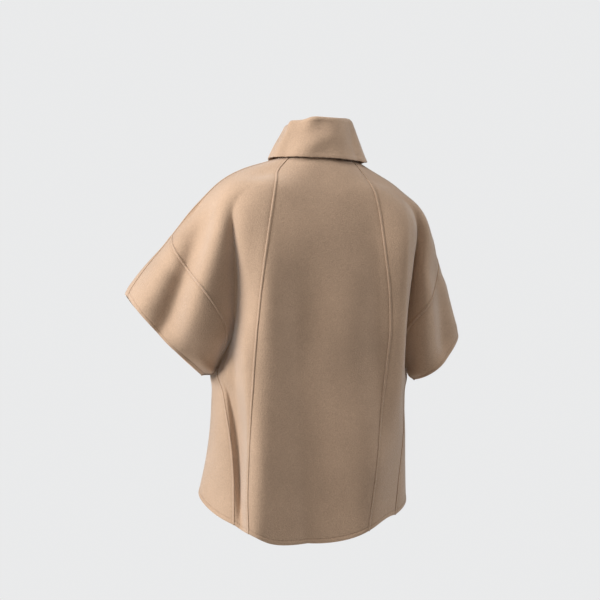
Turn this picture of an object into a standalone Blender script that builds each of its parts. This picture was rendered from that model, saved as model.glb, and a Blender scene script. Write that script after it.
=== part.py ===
"""A short wool cape as it hangs when it is worn, seen open and hollow: metres, +Z up, front towards -Y.

The origin is the middle of the neck seam. The wearer's left is +X. Every panel is a part of one smooth
surface. That surface is drawn between rails, which are the lines that a tailor would chalk on the cloth:
the middle of the back, the hollow beside the shoulder blade, the shoulder seam, the hollow before the arm
and the middle of the front. Rings cross the rails, from the neck seam to the cuffs, and from there to the hem.
"""

import bpy
import numpy as np

WALL = 0.0028  # thickness of the double-faced wool
SEAM_GAP = 0.0003  # between two panels that are sewn together
FRONT_LAP = 0.030  # how far each front passes the middle
LAP_RISE = 0.0045  # the upper front stands this far outside the lower one
LAP_RAMP = 0.035  # and climbs there over this width
LAP_CLEAR = 0.006  # between the edge of the lower front and the foot of that climb
CHEST_DEPTH = 0.138  # from the neck's middle to the front of the chest
PRINCESS_LIMIT = 0.94  # the long back seam stays on the back, short of the hollow

UNDERARM = 8  # ring where the side seam begins
CUFF = 9  # ring of the cuff, on the sleeves
HEM = 12  # ring of the hem, on the body


def rail(x, y, z):
    """One line down the garment, a column for each direction and a row for each ring."""
    return np.column_stack([x, y, z])


# Rings:                  neck   yoke   point  upper  blade  mid    sleeve low    underarm
MIDDLE_X = (0.006, 0.009, 0.011, 0.013, 0.014, 0.014, 0.013, 0.014, 0.018, 0.021, 0.026, 0.031, 0.034)
CENTRE_BACK = rail(
    x=MIDDLE_X,
    y=(0.068, 0.080, 0.090, 0.098, 0.103, 0.106, 0.107, 0.107, 0.106, 0.105, 0.101, 0.096, 0.090),
    z=(0.000, -0.038, -0.072, -0.112, -0.155, -0.205, -0.260, -0.330, -0.403, -0.480, -0.570, -0.650, -0.726),
)
CENTRE_FRONT = rail(
    x=MIDDLE_X,
    y=(-0.066, -0.078, -0.090, -0.104, -0.118, -0.128, -0.134, -0.137, *(5 * (-CHEST_DEPTH,))),
    z=(-0.036, -0.062, -0.090, -0.124, -0.162, -0.208, -0.260, -0.325, -0.395, -0.450, -0.505, -0.555, -0.595),
)
PRINCESS_OFFSET = {
    "left": (0.060, 0.080, 0.088, 0.095, 0.102, 0.110, 0.117, 0.122, 0.123, 0.123, 0.121, 0.117, 0.113),
    "right": (0.068, 0.094, 0.107, 0.116, 0.123, 0.129, 0.134, 0.138, 0.137, 0.132, 0.127, 0.122, 0.117),
}

SHOULDER_SEAM = {
    "left": rail(
        x=(0.072, 0.138, 0.184, 0.222, 0.255, 0.289, 0.317, 0.338, 0.348, 0.351),
        y=(-0.003, -0.014, -0.026, -0.034, -0.040, -0.046, -0.050, -0.055, -0.058, -0.060),
        z=(0.001, -0.021, -0.045, -0.086, -0.128, -0.169, -0.205, -0.236, -0.253, -0.264),
    ),
    "right": rail(
        x=(-0.072, -0.128, -0.168, -0.200, -0.226, -0.248, -0.266, -0.285, -0.299, -0.308),
        y=(-0.003, -0.012, -0.020, -0.025, -0.029, -0.031, -0.034, -0.040, -0.046, -0.050),
        z=(0.000, -0.030, -0.052, -0.080, -0.118, -0.160, -0.210, -0.268, -0.308, -0.334),
    ),
}
UNDERARM_POINT = {"left": (0.189, -0.010, -0.402), "right": (-0.188, -0.008, -0.406)}
UNDERARM_NORMAL = (0.60, 0.10, -0.79)  # on the left, where four panels meet
CUFF_LOW_POINT = {"left": (0.215, -0.030, -0.413), "right": (-0.204, -0.010, -0.426)}
BACK_HOLLOW = {
    "left": rail(
        x=(0.062, 0.097, 0.137, 0.170, 0.172, 0.163, 0.157, 0.155),
        y=(0.036, 0.052, 0.064, 0.058, 0.050, 0.046, 0.038, 0.026),
        z=(0.001, -0.030, -0.052, -0.092, -0.140, -0.195, -0.255, -0.328),
    ),
    "right": rail(
        x=(-0.062, -0.099, -0.137, -0.177, -0.194, -0.189, -0.178, -0.170),
        y=(0.036, 0.052, 0.062, 0.056, 0.048, 0.040, 0.032, 0.022),
        z=(0.000, -0.034, -0.060, -0.096, -0.140, -0.195, -0.258, -0.330),
    ),
}
FRONT_HOLLOW = {
    "left": rail(
        x=(0.046, 0.085, 0.130, 0.165, 0.176, 0.174, 0.168, 0.167),
        y=(-0.048, -0.062, -0.074, -0.086, -0.093, -0.096, -0.094, -0.078),
        z=(-0.018, -0.044, -0.066, -0.102, -0.147, -0.200, -0.258, -0.330),
    ),
    "right": rail(
        x=(-0.046, -0.085, -0.126, -0.160, -0.172, -0.172, -0.168, -0.166),
        y=(-0.048, -0.062, -0.074, -0.086, -0.093, -0.096, -0.094, -0.078),
        z=(-0.018, -0.044, -0.070, -0.104, -0.149, -0.202, -0.260, -0.332),
    ),
}
SIDE_SEAM = {
    "left": rail(x=(0.181, 0.173, 0.169, 0.170), y=(0.010, 0.028, 0.042, 0.050), z=(-0.450, -0.530, -0.615, -0.693)),
    "right": rail(x=(-0.178, -0.170, -0.158, -0.149), y=(0.010, 0.026, 0.038, 0.045), z=(-0.450, -0.530, -0.610, -0.682)),
}
# How sharply each ring turns into the hollows, from 0 at the neck, where the ring is round, to 1.
BACK_FOLD = (0.0, 0.0, 0.12, 0.55, 0.9, 1.0, 1.0, 1.0)
FRONT_FOLD = (0.0, 0.0, 0.05, 0.15, 0.25, 0.3, 0.3, 0.3)
ROUND_TURN = np.array([0.75, -0.66])
SLEEVE_SIDE = 1.0 + 1e-9  # the first column that belongs to the sleeve's part of a quarter
NORMAL_STEP = 2e-3  # rings between the points that a normal is measured from
CALM_WIDTH = 0.12  # columns over which the folds rise from a seam
# Direction in which the lower rings cross the side seam, on the left: outwards and forwards.
SIDE_TURN = ((0.20, -0.98), (0.35, -0.94), (0.52, -0.85), (0.66, -0.75), (0.72, -0.69))
SLEEVE_TURN_BACK = np.array([0.035, 0.075, 0.013])
SLEEVE_TURN_FRONT = np.array([0.030, -0.095, 0.010])
CUFF_TOP_BACK = {"left": np.array([-0.004, 0.075, -0.036]), "right": np.array([-0.016, 0.058, -0.030])}
CUFF_TOP_FRONT = {"left": np.array([0.016, -0.101, 0.014]), "right": np.array([0.012, -0.105, 0.006])}
SHOULDER_TILT = {"left": 0.16, "right": 0.04}  # how far the cloth leans outwards as it crosses the shoulder seam
HEM_DROP = {"left": 0.030, "right": 0.0}  # how far the hem sags between the side seam and the back
ARMHOLE_START = {"left": 4.4, "right": 5.6}
ARMHOLE_BEND = {"left": 1.6, "right": 2.4}

# Soft folds of the cloth: a line as seen from behind (x, z), its half widths towards the middle and
# towards the arm, and its height, which is below zero for a trough.
FOLD_COLUMNS = ("half", "x_top", "z_top", "x_low", "z_low", "inner", "outer", "height")
FOLDS = (
    ("back", 0.206, -0.060, 0.306, -0.320, 0.022, 0.015, -0.026),
    ("back", 0.200, -0.070, 0.262, -0.330, 0.020, 0.018, 0.012),
    ("back", 0.290, -0.190, 0.334, -0.290, 0.018, 0.020, 0.008),
    ("back", 0.160, -0.240, 0.146, -0.720, 0.022, 0.007, 0.010),
    ("back", 0.176, -0.290, 0.160, -0.640, 0.007, 0.014, -0.012),
    ("back", -0.262, -0.200, -0.296, -0.330, 0.024, 0.022, 0.010),
    ("back", -0.232, -0.150, -0.262, -0.360, 0.024, 0.020, -0.014),
    ("back", -0.090, -0.040, -0.102, -0.480, 0.034, 0.022, -0.008),
    ("back", -0.150, -0.060, -0.150, -0.460, 0.024, 0.014, 0.007),
    ("back", 0.116, -0.020, 0.128, -0.760, 0.026, 0.024, 0.006),
    ("back", 0.050, -0.140, 0.028, -0.800, 0.060, 0.036, -0.009),
    ("back", -0.085, -0.420, -0.075, -0.800, 0.040, 0.040, 0.006),
    ("front", 0.235, -0.130, 0.300, -0.330, 0.030, 0.026, -0.016),
    ("front", -0.225, -0.140, -0.275, -0.370, 0.030, 0.026, -0.016),
    ("front", 0.085, -0.200, 0.105, -0.700, 0.045, 0.045, -0.010),
    ("front", -0.080, -0.240, -0.070, -0.700, 0.045, 0.045, -0.009),
)


def unit(vectors):
    """The vectors at length one."""
    length = np.linalg.norm(vectors, axis=-1, keepdims=True)
    return vectors / np.maximum(length, 1e-12)


def smooth(share):
    """An even rise from 0 to 1."""
    share = np.clip(share, 0.0, 1.0)
    return share * share * (3.0 - 2.0 * share)


def bezier(start, leave, arrive, end, count=121):
    """A cubic curve, with its points the same distance apart."""
    t = np.linspace(0.0, 1.0, 4 * count)[:, None]
    curve = (1 - t) ** 3 * start + 3 * t * (1 - t) ** 2 * leave + 3 * t * t * (1 - t) * arrive + t**3 * end
    run = np.append(0.0, np.cumsum(np.linalg.norm(np.diff(curve, axis=0), axis=1)))
    even = np.linspace(0.0, run[-1], count)
    return np.column_stack([np.interp(even, run, curve[:, k]) for k in range(3)])


def level(direction):
    """A direction in plan as one in space."""
    return np.array([direction[0], direction[1], 0.0])


def slopes(rows):
    """How fast each column's point moves from ring to ring."""
    return np.gradient(rows, axis=0)


class Quarter:
    """One quarter of the cape, from the middle of its back or front to the shoulder or side seam.

    A place on it is (ring, column): column 0 is the middle, 1 the hollow and below it the side seam, and 2
    the shoulder seam. Columns past 1 end at the cuff.
    """

    def __init__(self, half, side):
        self.half, self.side = half, side
        back = half == "back"
        self.sign = 1.0 if side == "left" else -1.0
        self.middle = CENTRE_BACK if back else CENTRE_FRONT
        hollow = (BACK_HOLLOW if back else FRONT_HOLLOW)[side]
        self.hollow = np.vstack([hollow, UNDERARM_POINT[side], CUFF_LOW_POINT[side]])
        self.outer = np.vstack([UNDERARM_POINT[side], SIDE_SEAM[side]])
        self.shoulder = SHOULDER_SEAM[side]
        self.folding = BACK_FOLD if back else FRONT_FOLD
        self.facing = 1.0 if back else -1.0
        self.body = np.array([self.body_ring(k) for k in range(HEM + 1)])
        self.sleeve = np.array([self.sleeve_ring(k) for k in range(CUFF + 1)])

    def turned(self, direction):
        """A direction given for the left back, as it is on this quarter."""
        return np.array([direction[0] * self.sign, direction[1] * self.facing])

    def body_ring(self, k):
        """The ring from the middle to the hollow, or to the side seam."""
        start = self.middle[k]
        if k < UNDERARM:
            end = self.hollow[k]
            fold = self.folding[k]
            heading = (1 - fold) * self.turned(ROUND_TURN) + fold * self.turned((0.0, -1.0))
            reach = (0.38 - 0.06 * fold) * np.linalg.norm(end - start)
            out = 0.55 + 0.27 * fold
            return bezier(start, start + [out * (end - start)[0], 0, 0], end - level(heading) * reach, end)
        end = self.outer[k - UNDERARM]
        turn = np.array(SIDE_TURN[k - UNDERARM]) * [self.sign, 1.0]
        share = (k - UNDERARM) / (HEM - UNDERARM)
        if self.half == "back":
            leave = start + [(0.76 - 0.14 * share) * (end - start)[0], 0.002, -0.010 * share]
            arrive = end - level(turn) * (0.072 - 0.012 * share) - np.array([0, 0, HEM_DROP[self.side] * share])
            return bezier(start, leave, arrive, end)
        leave = start + [(0.78 + 0.10 * share) * (end - start)[0], 0, 0]
        reach = 0.075 + 0.090 * share
        rise = np.array([0, 0, 0.055 * share])
        return bezier(start, leave, end + level(turn) * reach + rise, end)

    def sleeve_ring(self, k):
        """The ring from the hollow to the shoulder seam, or round the cuff."""
        start, end = self.hollow[k], self.shoulder[k]
        back = self.half == "back"
        mirror = np.array([self.sign, 1.0, 1.0])
        low = (SLEEVE_TURN_BACK if back else SLEEVE_TURN_FRONT) * mirror
        top = (CUFF_TOP_BACK if back else CUFF_TOP_FRONT)[self.side] * mirror
        if k >= UNDERARM:
            return bezier(start, start + low, end + top, end)
        fold = self.folding[k]
        rising = self.turned((0.64, 0.77)) if back else self.turned((0.93, 0.37))
        heading = unit((1 - fold) * self.turned(ROUND_TURN) + fold * rising)
        span = np.linalg.norm(end - start)
        leave = level(heading) * (0.36 + 0.10 * fold) * span
        tilt = SHOULDER_TILT[self.side] * smooth(k / 5)
        arrive = level(self.turned((-tilt, 1.0)) * [self.facing, 1.0]) * 0.30 * (abs(start[1] - end[1]) + span)
        near = smooth((k - 4) / (UNDERARM - 4)) ** 2
        return bezier(start, start + (1 - near) * leave + near * low, end + (1 - near) * arrive + near * top, end)

    def prepare(self, shared):
        """Gives both parts of the quarter the same slope where they meet at the underarm point."""
        column = np.linspace(0.0, 1.0, self.body.shape[1])[:, None]
        self.body_slope, self.sleeve_slope = slopes(self.body), slopes(self.sleeve)
        self.body_slope[UNDERARM] += (shared - self.body_slope[UNDERARM][-1]) * smooth((column - 0.7) / 0.3)
        self.sleeve_slope[UNDERARM] += (shared - self.sleeve_slope[UNDERARM][0]) * smooth((0.3 - column) / 0.3)

    def base(self, ring, column):
        """Points of the smooth cloth without its soft folds."""
        ring, column = np.broadcast_arrays(np.asarray(ring, float), np.asarray(column, float))
        points = np.empty(ring.shape + (3,))
        on_body = column <= 1.0
        for mask, rows, slope, along in (
            (on_body, self.body, self.body_slope, column),
            (~on_body, self.sleeve, self.sleeve_slope, column - 1.0),
        ):
            if not mask.any():
                continue
            r = np.clip(ring[mask], 0.0, len(rows) - 1.0)
            k = np.minimum(r.astype(int), len(rows) - 2)
            t = (r - k)[:, None]
            place = np.clip(along[mask], 0.0, 1.0) * (rows.shape[1] - 1)
            j = np.minimum(place.astype(int), rows.shape[1] - 2)
            part = (place - j)[:, None]

            def at(table, row):
                return table[row, j] * (1 - part) + table[row, j + 1] * part

            points[mask] = (
                (1 - 3 * t**2 + 2 * t**3) * at(rows, k)
                + (t**3 - 2 * t**2 + t) * at(slope, k)
                + (3 * t**2 - 2 * t**3) * at(rows, k + 1)
                + (t**3 - t**2) * at(slope, k + 1)
            )
        return points

    def fold_height(self, points):
        """How far the soft folds lift the cloth at these points."""
        lift = np.zeros(points.shape[:-1])
        x, z = points[..., 0], points[..., 2]
        for row in FOLDS:
            fold = dict(zip(FOLD_COLUMNS, row))
            if fold["half"] != self.half:
                continue
            run = np.array([fold["x_low"] - fold["x_top"], fold["z_low"] - fold["z_top"]])
            length = np.linalg.norm(run)
            run /= length
            along = (x - fold["x_top"]) * run[0] + (z - fold["z_top"]) * run[1]
            across = (x - fold["x_top"]) * run[1] - (z - fold["z_top"]) * run[0]
            outwards = across * (-1.0 if fold["x_top"] > 0 else 1.0) > 0
            width = np.where(outwards, fold["outer"], fold["inner"])
            fade = smooth(along / (0.35 * length)) * smooth((1.25 * length - along) / (0.35 * length))
            lift += fold["height"] * np.exp(-((across / width) ** 2)) * fade
        return lift

    def surface(self, ring, column):
        """Points of the folded cloth."""
        points = self.base(ring, column)
        lift = self.fold_height(points) * self.calm(ring, column)
        aside = self.sign * 0.4 * smooth((np.asarray(column, float) + 0 * lift) / 2.0)
        away = np.stack([aside, np.full_like(lift, self.facing), np.full_like(lift, 0.15)], axis=-1)
        return points + unit(away) * lift[..., None]

    def calm(self, ring, column):
        """Folds die away at the seams that two quarters share."""
        ring, column = np.broadcast_arrays(np.asarray(ring, float), np.asarray(column, float))
        above = np.minimum(column, 2.0 - column) if self.half == "front" else 2.0 - column
        below = np.where(column > 1.0, np.minimum(column - 1.0, 2.0 - column), 1.0 - column)
        return smooth(np.where(ring < UNDERARM, above, below) / CALM_WIDTH)

    def raw_normal(self, ring, column, step=NORMAL_STEP):
        """The outward normal of the folded cloth, from small steps along it."""
        ring, column = np.broadcast_arrays(np.asarray(ring, float), np.asarray(column, float))
        top = np.where(column > 1.0, float(CUFF), float(HEM))
        down = self.surface(np.minimum(ring + step, top), column) - self.surface(np.maximum(ring - step, 0.0), column)
        low = np.where(column > 1.0, SLEEVE_SIDE, 0.0)
        high = np.where(column > 1.0, 2.0, 1.0)
        wide = 8 * step
        right, left = np.minimum(column + wide, high), np.maximum(column - wide, low)
        across = self.surface(ring, right) - self.surface(ring, left)
        return unit(np.cross(across, down)) * self.sign * self.facing


def quarters():
    """The four quarters, joined smoothly at both underarm points."""
    made = {(half, side): Quarter(half, side) for half in ("back", "front") for side in ("left", "right")}
    for side in ("left", "right"):
        pair = [made["back", side], made["front", side]]
        meeting = [slopes(q.body)[UNDERARM][-1] for q in pair] + [slopes(q.sleeve)[UNDERARM][0] for q in pair]
        for quarter in pair:
            quarter.prepare(np.mean(meeting, axis=0))
    return made


# Building
RING_STEP = 0.4  # rows of faces lie this share of a ring apart
CENTRE_COLUMNS, SIDE_COLUMNS, SHOULDER_COLUMNS, SLEEVE_COLUMNS = 5, 6, 7, 7
COLLAR_STATIONS = 48
COLLAR_GAP = 0.006  # between the collar's two ends
NECK_SMOOTHING = 30  # rounds of smoothing that the neck seam gets before the collar is set on it
COLLAR_SEAT = -0.0008  # the first row of the collar, inside the neck seam, lies this far above it
COLLAR_PROFILE = rail(  # out, how much of the fall's own spread is added, up
    x=(-0.0035, -0.007, -0.0115, -0.015, -0.0165, -0.015, -0.0105, -0.006, -0.003, 0.000, 0.003, 0.006),
    y=(0.0, 0.0, 0.0, 0.0, 0.0, 0.0, 0.05, 0.12, 0.28, 0.52, 0.78, 1.0),
    z=(0.000, 0.022, 0.045, 0.062, 0.072, 0.0775, 0.079, 0.0745, 0.060, 0.040, 0.020, 0.003),
)
FALL_SPREAD = {"left": 0.008, "right": 0.022, "back": 0.003, "front": 0.006}
FALL_DROP = {"left": 0.000, "right": -0.008}
WOOL_COLOUR = (0.46, 0.32, 0.21, 1.0)


def rings(first, last):
    """The rows of faces from one ring to another."""
    return np.linspace(first, last, int(round((last - first) / RING_STEP)) + 1)


def column_at(quarter, ring, distance):
    """The column that lies this far to the side of the middle, at each ring."""
    columns = np.linspace(0.0, PRINCESS_LIMIT, 200)
    found = []
    for r, far in zip(np.atleast_1d(ring), np.broadcast_to(distance, np.shape(np.atleast_1d(ring)))):
        across = np.abs(quarter.base(r, columns)[:, 0] - quarter.base(r, 0.0)[0])
        found.append(np.interp(far, across, columns))
    return np.array(found)


def princess_column(quarter, ring):
    """The column of the long back seam."""
    return column_at(quarter, ring, np.interp(ring, np.arange(HEM + 1), PRINCESS_OFFSET[quarter.side]))


def armhole_column(side, ring):
    """The column of the armhole seam: on the shoulder seam above its start, and at the underarm point below."""
    start = ARMHOLE_START[side]
    share = np.clip((UNDERARM - ring) / (UNDERARM - start), 0.0, 1.0)
    return 1.0 + share ** ARMHOLE_BEND[side]


class Cloth:
    """An open sheet made of one or more grids, welded and then given its thickness."""

    def __init__(self):
        self.points, self.normals, self.faces = [], [], []

    def grid(self, points, normals, flip):
        """Adds a grid of rows and columns of points."""
        rows, columns = points.shape[:2]
        first = sum(len(p) for p in self.points)
        index = first + np.arange(rows * columns).reshape(rows, columns)
        a, b, c, d = index[:-1, :-1], index[:-1, 1:], index[1:, 1:], index[1:, :-1]
        quads = np.stack([a, b, c, d] if flip else [a, d, c, b], axis=-1).reshape(-1, 4)
        self.points.append(points.reshape(-1, 3))
        self.normals.append(normals.reshape(-1, 3))
        self.faces.append(quads)

    def welded(self):
        """Points, normals and faces, with the points that coincide made one."""
        points, normals = np.vstack(self.points), np.vstack(self.normals)
        _, first, index = np.unique(np.round(points / 1e-6), axis=0, return_index=True, return_inverse=True)
        index = index.reshape(-1)
        joined = np.zeros((len(first), 3))
        np.add.at(joined, index, normals)
        faces = [list(dict.fromkeys(index[face])) for face in np.vstack(self.faces)]
        return points[first], unit(joined), [face for face in faces if len(face) > 2]

    def solid(self, name, outside=0.0):
        """The sheet as a closed wall, which lies within its outer face unless outside moves it out."""
        points, normals, faces = self.welded()
        directed = {}
        for face in faces:
            for start, end in zip(face, face[1:] + face[:1]):
                directed[start, end] = True
        border = [edge for edge in directed if edge[::-1] not in directed]
        inward = {}
        for start, end in border:
            side = unit(np.cross(normals[start] + normals[end], points[end] - points[start]))
            for corner in (start, end):
                inward.setdefault(corner, []).append(side)
        outer = points.copy()
        for corner, sides in inward.items():
            total = np.sum(sides, axis=0)
            outer[corner] += SEAM_GAP / 2 * total / max(1.0 + float(np.dot(sides[0], sides[-1])), 0.5)
        inner = outer - normals * (WALL - outside)
        outer = outer + normals * outside
        count = len(points)
        walls = [list(face) for face in faces] + [[v + count for v in reversed(face)] for face in faces]
        for start, end in border:
            # Both panels at a seam split their edge faces along the same diagonal.
            if tuple(points[start][::-1]) < tuple(points[end][::-1]):
                walls += [[end, start, end + count], [start, start + count, end + count]]
            else:
                walls += [[end, start, start + count], [end, start + count, end + count]]
        return make_object(name, np.vstack([outer, inner]), walls)


def wool():
    """The felted wool of every panel."""
    material = bpy.data.materials.new("camel_wool")
    material.use_nodes = True
    shader = material.node_tree.nodes["Principled BSDF"]
    shader.inputs["Base Color"].default_value = WOOL_COLOUR
    shader.inputs["Roughness"].default_value = 0.92
    shader.inputs["Metallic"].default_value = 0.0
    shader.inputs["Sheen Weight"].default_value = 0.25
    return material


def make_object(name, points, faces):
    """A mesh object in the cape's collection."""
    mesh = bpy.data.meshes.new(name)
    mesh.from_pydata([tuple(p) for p in points], [], faces)
    mesh.validate()
    mesh.shade_smooth()
    mesh.set_sharp_from_angle(angle=0.9)
    piece = bpy.data.objects.new(name, mesh)
    piece.data.materials.append(wool())
    bpy.data.collections["wool_cape"].objects.link(piece)
    return piece


def seam_normal(cape, half, side, ring, column):
    """The outward normal, shared by both quarters along the seams where they meet."""
    quarter = cape[half, side]
    normal = quarter.raw_normal(ring, column)
    other = cape["front" if half == "back" else "back", side]
    mirror = cape[half, "right" if side == "left" else "left"]
    ring, column = np.broadcast_arrays(np.asarray(ring, float), np.asarray(column, float))
    at_shoulder = column > 2.0 - 1e-6
    at_side = ((np.abs(column - 1.0) < 1e-6) & (ring > UNDERARM - 1e-6))
    at_middle = column < 1e-6
    for mask, neighbour in ((at_shoulder, other), (at_side, other), (at_middle, mirror)):
        if mask.any():
            theirs = neighbour.raw_normal(ring[mask], column[mask])
            normal[mask] = unit(normal[mask] + theirs)
    return normal


def patch(cloth, cape, half, side, ring, column, lift=0.0):
    """Adds the part of a quarter at these rings and columns to a cloth."""
    quarter = cape[half, side]
    ring, column = np.broadcast_arrays(np.asarray(ring, float), np.asarray(column, float))
    normals = seam_normal(cape, half, side, ring, column)
    points = quarter.surface(ring, column)
    at_underarm = np.linalg.norm(points - UNDERARM_POINT[side], axis=-1) < 1e-6
    normals[at_underarm] = unit(np.array(UNDERARM_NORMAL) * [quarter.sign, 1.0, 1.0])
    points = points + normals * np.asarray(lift)[..., None]
    cloth.grid(points, normals, flip=(side == "left") == (half == "back"))


def spread(first, last, count):
    """Columns from one line to another, for each row."""
    share = np.linspace(0.0, 1.0, count + 1)[None, :]
    return np.asarray(first)[:, None] * (1 - share) + np.asarray(last)[:, None] * share


def back_centre(cape):
    """The middle of the back, between the two long seams."""
    cloth = Cloth()
    ring = rings(0, HEM)
    for side in ("left", "right"):
        edge = princess_column(cape["back", side], ring)
        patch(cloth, cape, "back", side, ring[:, None], spread(0 * edge, edge, CENTRE_COLUMNS))
    return cloth.solid("back_center")


def side_panel(cloth, cape, half, side, inner):
    """Adds a panel from its inner line out to the shoulder seam, the armhole seam and the side seam."""
    ring = rings(0, HEM)
    one = np.ones_like(ring)
    patch(cloth, cape, half, side, ring[:, None], spread(inner, one, SIDE_COLUMNS))
    upper = rings(0, UNDERARM)
    outer = armhole_column(side, upper)
    columns = np.maximum(spread(np.ones_like(upper), outer, SHOULDER_COLUMNS), SLEEVE_SIDE)
    patch(cloth, cape, half, side, upper[:, None], columns)


def back_side(cape, side):
    """The back from the long seam to the arm and the side seam."""
    cloth = Cloth()
    side_panel(cloth, cape, "back", side, princess_column(cape["back", side], rings(0, HEM)))
    return cloth.solid(f"back_side_{side}")


def front(cape, side):
    """One front. It passes the middle, and the right one lies over the left."""
    cloth = Cloth()
    ring = rings(0, HEM)
    other = "right" if side == "left" else "left"
    start = np.zeros_like(ring)
    if side == "left":
        side_panel(cloth, cape, "front", side, start)
        edge = column_at(cape["front", other], ring, FRONT_LAP)
        patch(cloth, cape, "front", other, ring[:, None], spread(start, edge, 2))
        return cloth.solid("front_left")
    rise = column_at(cape["front", side], ring, FRONT_LAP + LAP_CLEAR)
    foot = column_at(cape["front", side], ring, FRONT_LAP + LAP_CLEAR + LAP_RAMP)
    side_panel(cloth, cape, "front", side, foot)
    patch(cloth, cape, "front", side, ring[:, None], spread(rise, foot, 3), LAP_RISE * smooth(np.linspace(1, 0, 4)))
    patch(cloth, cape, "front", side, ring[:, None], spread(start, rise, 2), np.full(3, LAP_RISE))
    edge = column_at(cape["front", other], ring, FRONT_LAP)
    patch(cloth, cape, "front", other, ring[:, None], spread(start, edge, 2), np.full(3, LAP_RISE))
    return cloth.solid("front_right")


def sleeve(cape, half, side):
    """Half of a sleeve, from the armhole seam to the cuff."""
    cloth = Cloth()
    seam_ring = rings(ARMHOLE_START[side], UNDERARM)
    seam_column = armhole_column(side, seam_ring)
    cuff_column = 2.0 - np.linspace(0.0, 1.0, len(seam_ring))
    ring = spread(seam_ring, np.full_like(seam_ring, CUFF), SLEEVE_COLUMNS)
    column = spread(seam_column, cuff_column, SLEEVE_COLUMNS)
    column = np.maximum(column, SLEEVE_SIDE)
    patch(cloth, cape, half, side, ring, column)
    return cloth.solid(f"sleeve_{half}_{side}")


def neck_line(cape):
    """The neck seam from the middle of the front, round the left, the back and the right."""
    column = np.linspace(0.0, 2.0, 241)
    left_front = cape["front", "left"].base(0.0, column)
    left_back = cape["back", "left"].base(0.0, column)[::-1]
    right_back = cape["back", "right"].base(0.0, column)
    right_front = cape["front", "right"].base(0.0, column)[::-1]
    line = np.vstack([left_front, left_back[1:], right_back[1:], right_front[1:]])
    for _ in range(NECK_SMOOTHING):
        line[1:-1] = (line[:-2] + 2 * line[1:-1] + line[2:]) / 4
    run = np.append(0.0, np.cumsum(np.linalg.norm(np.diff(line, axis=0), axis=1)))
    even = np.linspace(COLLAR_GAP / 2, run[-1] - COLLAR_GAP / 2, COLLAR_STATIONS + 1)
    return np.column_stack([np.interp(even, run, line[:, k]) for k in range(3)])


def collar(cape):
    """The stand, the roll and the fall of the collar, in one piece of cloth."""
    line = neck_line(cape)
    along = unit(np.gradient(line, axis=0) * [1, 1, 0])
    out = np.column_stack([along[:, 1], -along[:, 0], 0 * along[:, 0]])
    left, right = np.clip(out[:, 0], 0, 1) ** 1.5, np.clip(-out[:, 0], 0, 1) ** 1.5
    behind, before = np.clip(out[:, 1], 0, 1) ** 1.5, np.clip(-out[:, 1], 0, 1) ** 1.5
    facing = {"left": left, "right": right, "back": behind, "front": before}
    spread_out = sum(FALL_SPREAD[name] * part for name, part in facing.items())
    drop = FALL_DROP["left"] * left + FALL_DROP["right"] * right
    forward, fall, up = COLLAR_PROFILE.T
    reach = forward[:, None] + fall[:, None] * spread_out[None, :]
    height = COLLAR_SEAT + up[:, None] + fall[:, None] * drop[None, :]
    points = line[None, :, :] + reach[..., None] * out[None, :, :]
    points[..., 2] += height
    down = np.gradient(points, axis=0)
    normals = unit(np.cross(down, np.gradient(points, axis=1)))
    cloth = Cloth()
    cloth.grid(points, normals, flip=False)
    return cloth.solid("collar", outside=WALL / 2)


def main():
    """Clears the scene and makes every piece of the cape."""
    for old in list(bpy.data.objects):
        bpy.data.objects.remove(old)
    bpy.context.scene.collection.children.link(bpy.data.collections.new("wool_cape"))
    cape = quarters()
    back_centre(cape)
    for side in ("left", "right"):
        back_side(cape, side)
        front(cape, side)
        for half in ("back", "front"):
            sleeve(cape, half, side)
    collar(cape)


main()
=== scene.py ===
"""Dresses a short wool cape as it hangs when it is worn: panels, seams, turned edges, collar and finish.

Metres, +Z up. The origin is the middle of the neck seam, the front faces -Y and the wearer's left is +X.
Every panel is cut from one smooth form. Rails run down that form, as a tailor would chalk them, and rings
cross them from the neck seam to the cuffs and to the hem.
"""

import logging
import math
from dataclasses import dataclass, field, replace
from enum import Enum
from typing import Sequence

import bpy
import numpy as np
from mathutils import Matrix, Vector
from mathutils.kdtree import KDTree


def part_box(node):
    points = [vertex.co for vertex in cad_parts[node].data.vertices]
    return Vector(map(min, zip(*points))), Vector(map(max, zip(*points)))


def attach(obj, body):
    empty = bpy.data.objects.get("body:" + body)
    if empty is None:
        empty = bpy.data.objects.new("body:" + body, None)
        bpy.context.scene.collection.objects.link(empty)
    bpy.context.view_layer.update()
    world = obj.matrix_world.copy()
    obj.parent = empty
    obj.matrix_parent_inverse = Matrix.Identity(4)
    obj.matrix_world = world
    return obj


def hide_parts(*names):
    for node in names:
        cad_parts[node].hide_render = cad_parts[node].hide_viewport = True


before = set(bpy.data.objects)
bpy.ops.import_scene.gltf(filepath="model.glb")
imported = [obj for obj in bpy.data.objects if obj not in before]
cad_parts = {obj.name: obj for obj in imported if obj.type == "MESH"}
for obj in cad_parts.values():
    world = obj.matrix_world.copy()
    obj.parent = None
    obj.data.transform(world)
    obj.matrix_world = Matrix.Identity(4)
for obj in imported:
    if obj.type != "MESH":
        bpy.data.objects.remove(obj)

LOG = logging.getLogger("wool_cape")
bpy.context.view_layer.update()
BODY = "root"
MM = 0.001

UNDERARM = 8  # ring where the side seam begins
CUFF = 9  # ring of the cuff, on the sleeves
HEM = 12  # ring of the hem, on the body
SLEEVE_SIDE = 1.0 + 1e-9  # the first column that belongs to the sleeve's part of a quarter


class Side(Enum):
    """The wearer's left or right."""

    LEFT = "left"
    RIGHT = "right"

    @property
    def sign(self) -> float:
        """+1 on the left, where x is positive, and -1 on the right."""
        return 1.0 if self is Side.LEFT else -1.0

    @property
    def other(self) -> "Side":
        """The opposite side."""
        return Side.RIGHT if self is Side.LEFT else Side.LEFT


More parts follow.
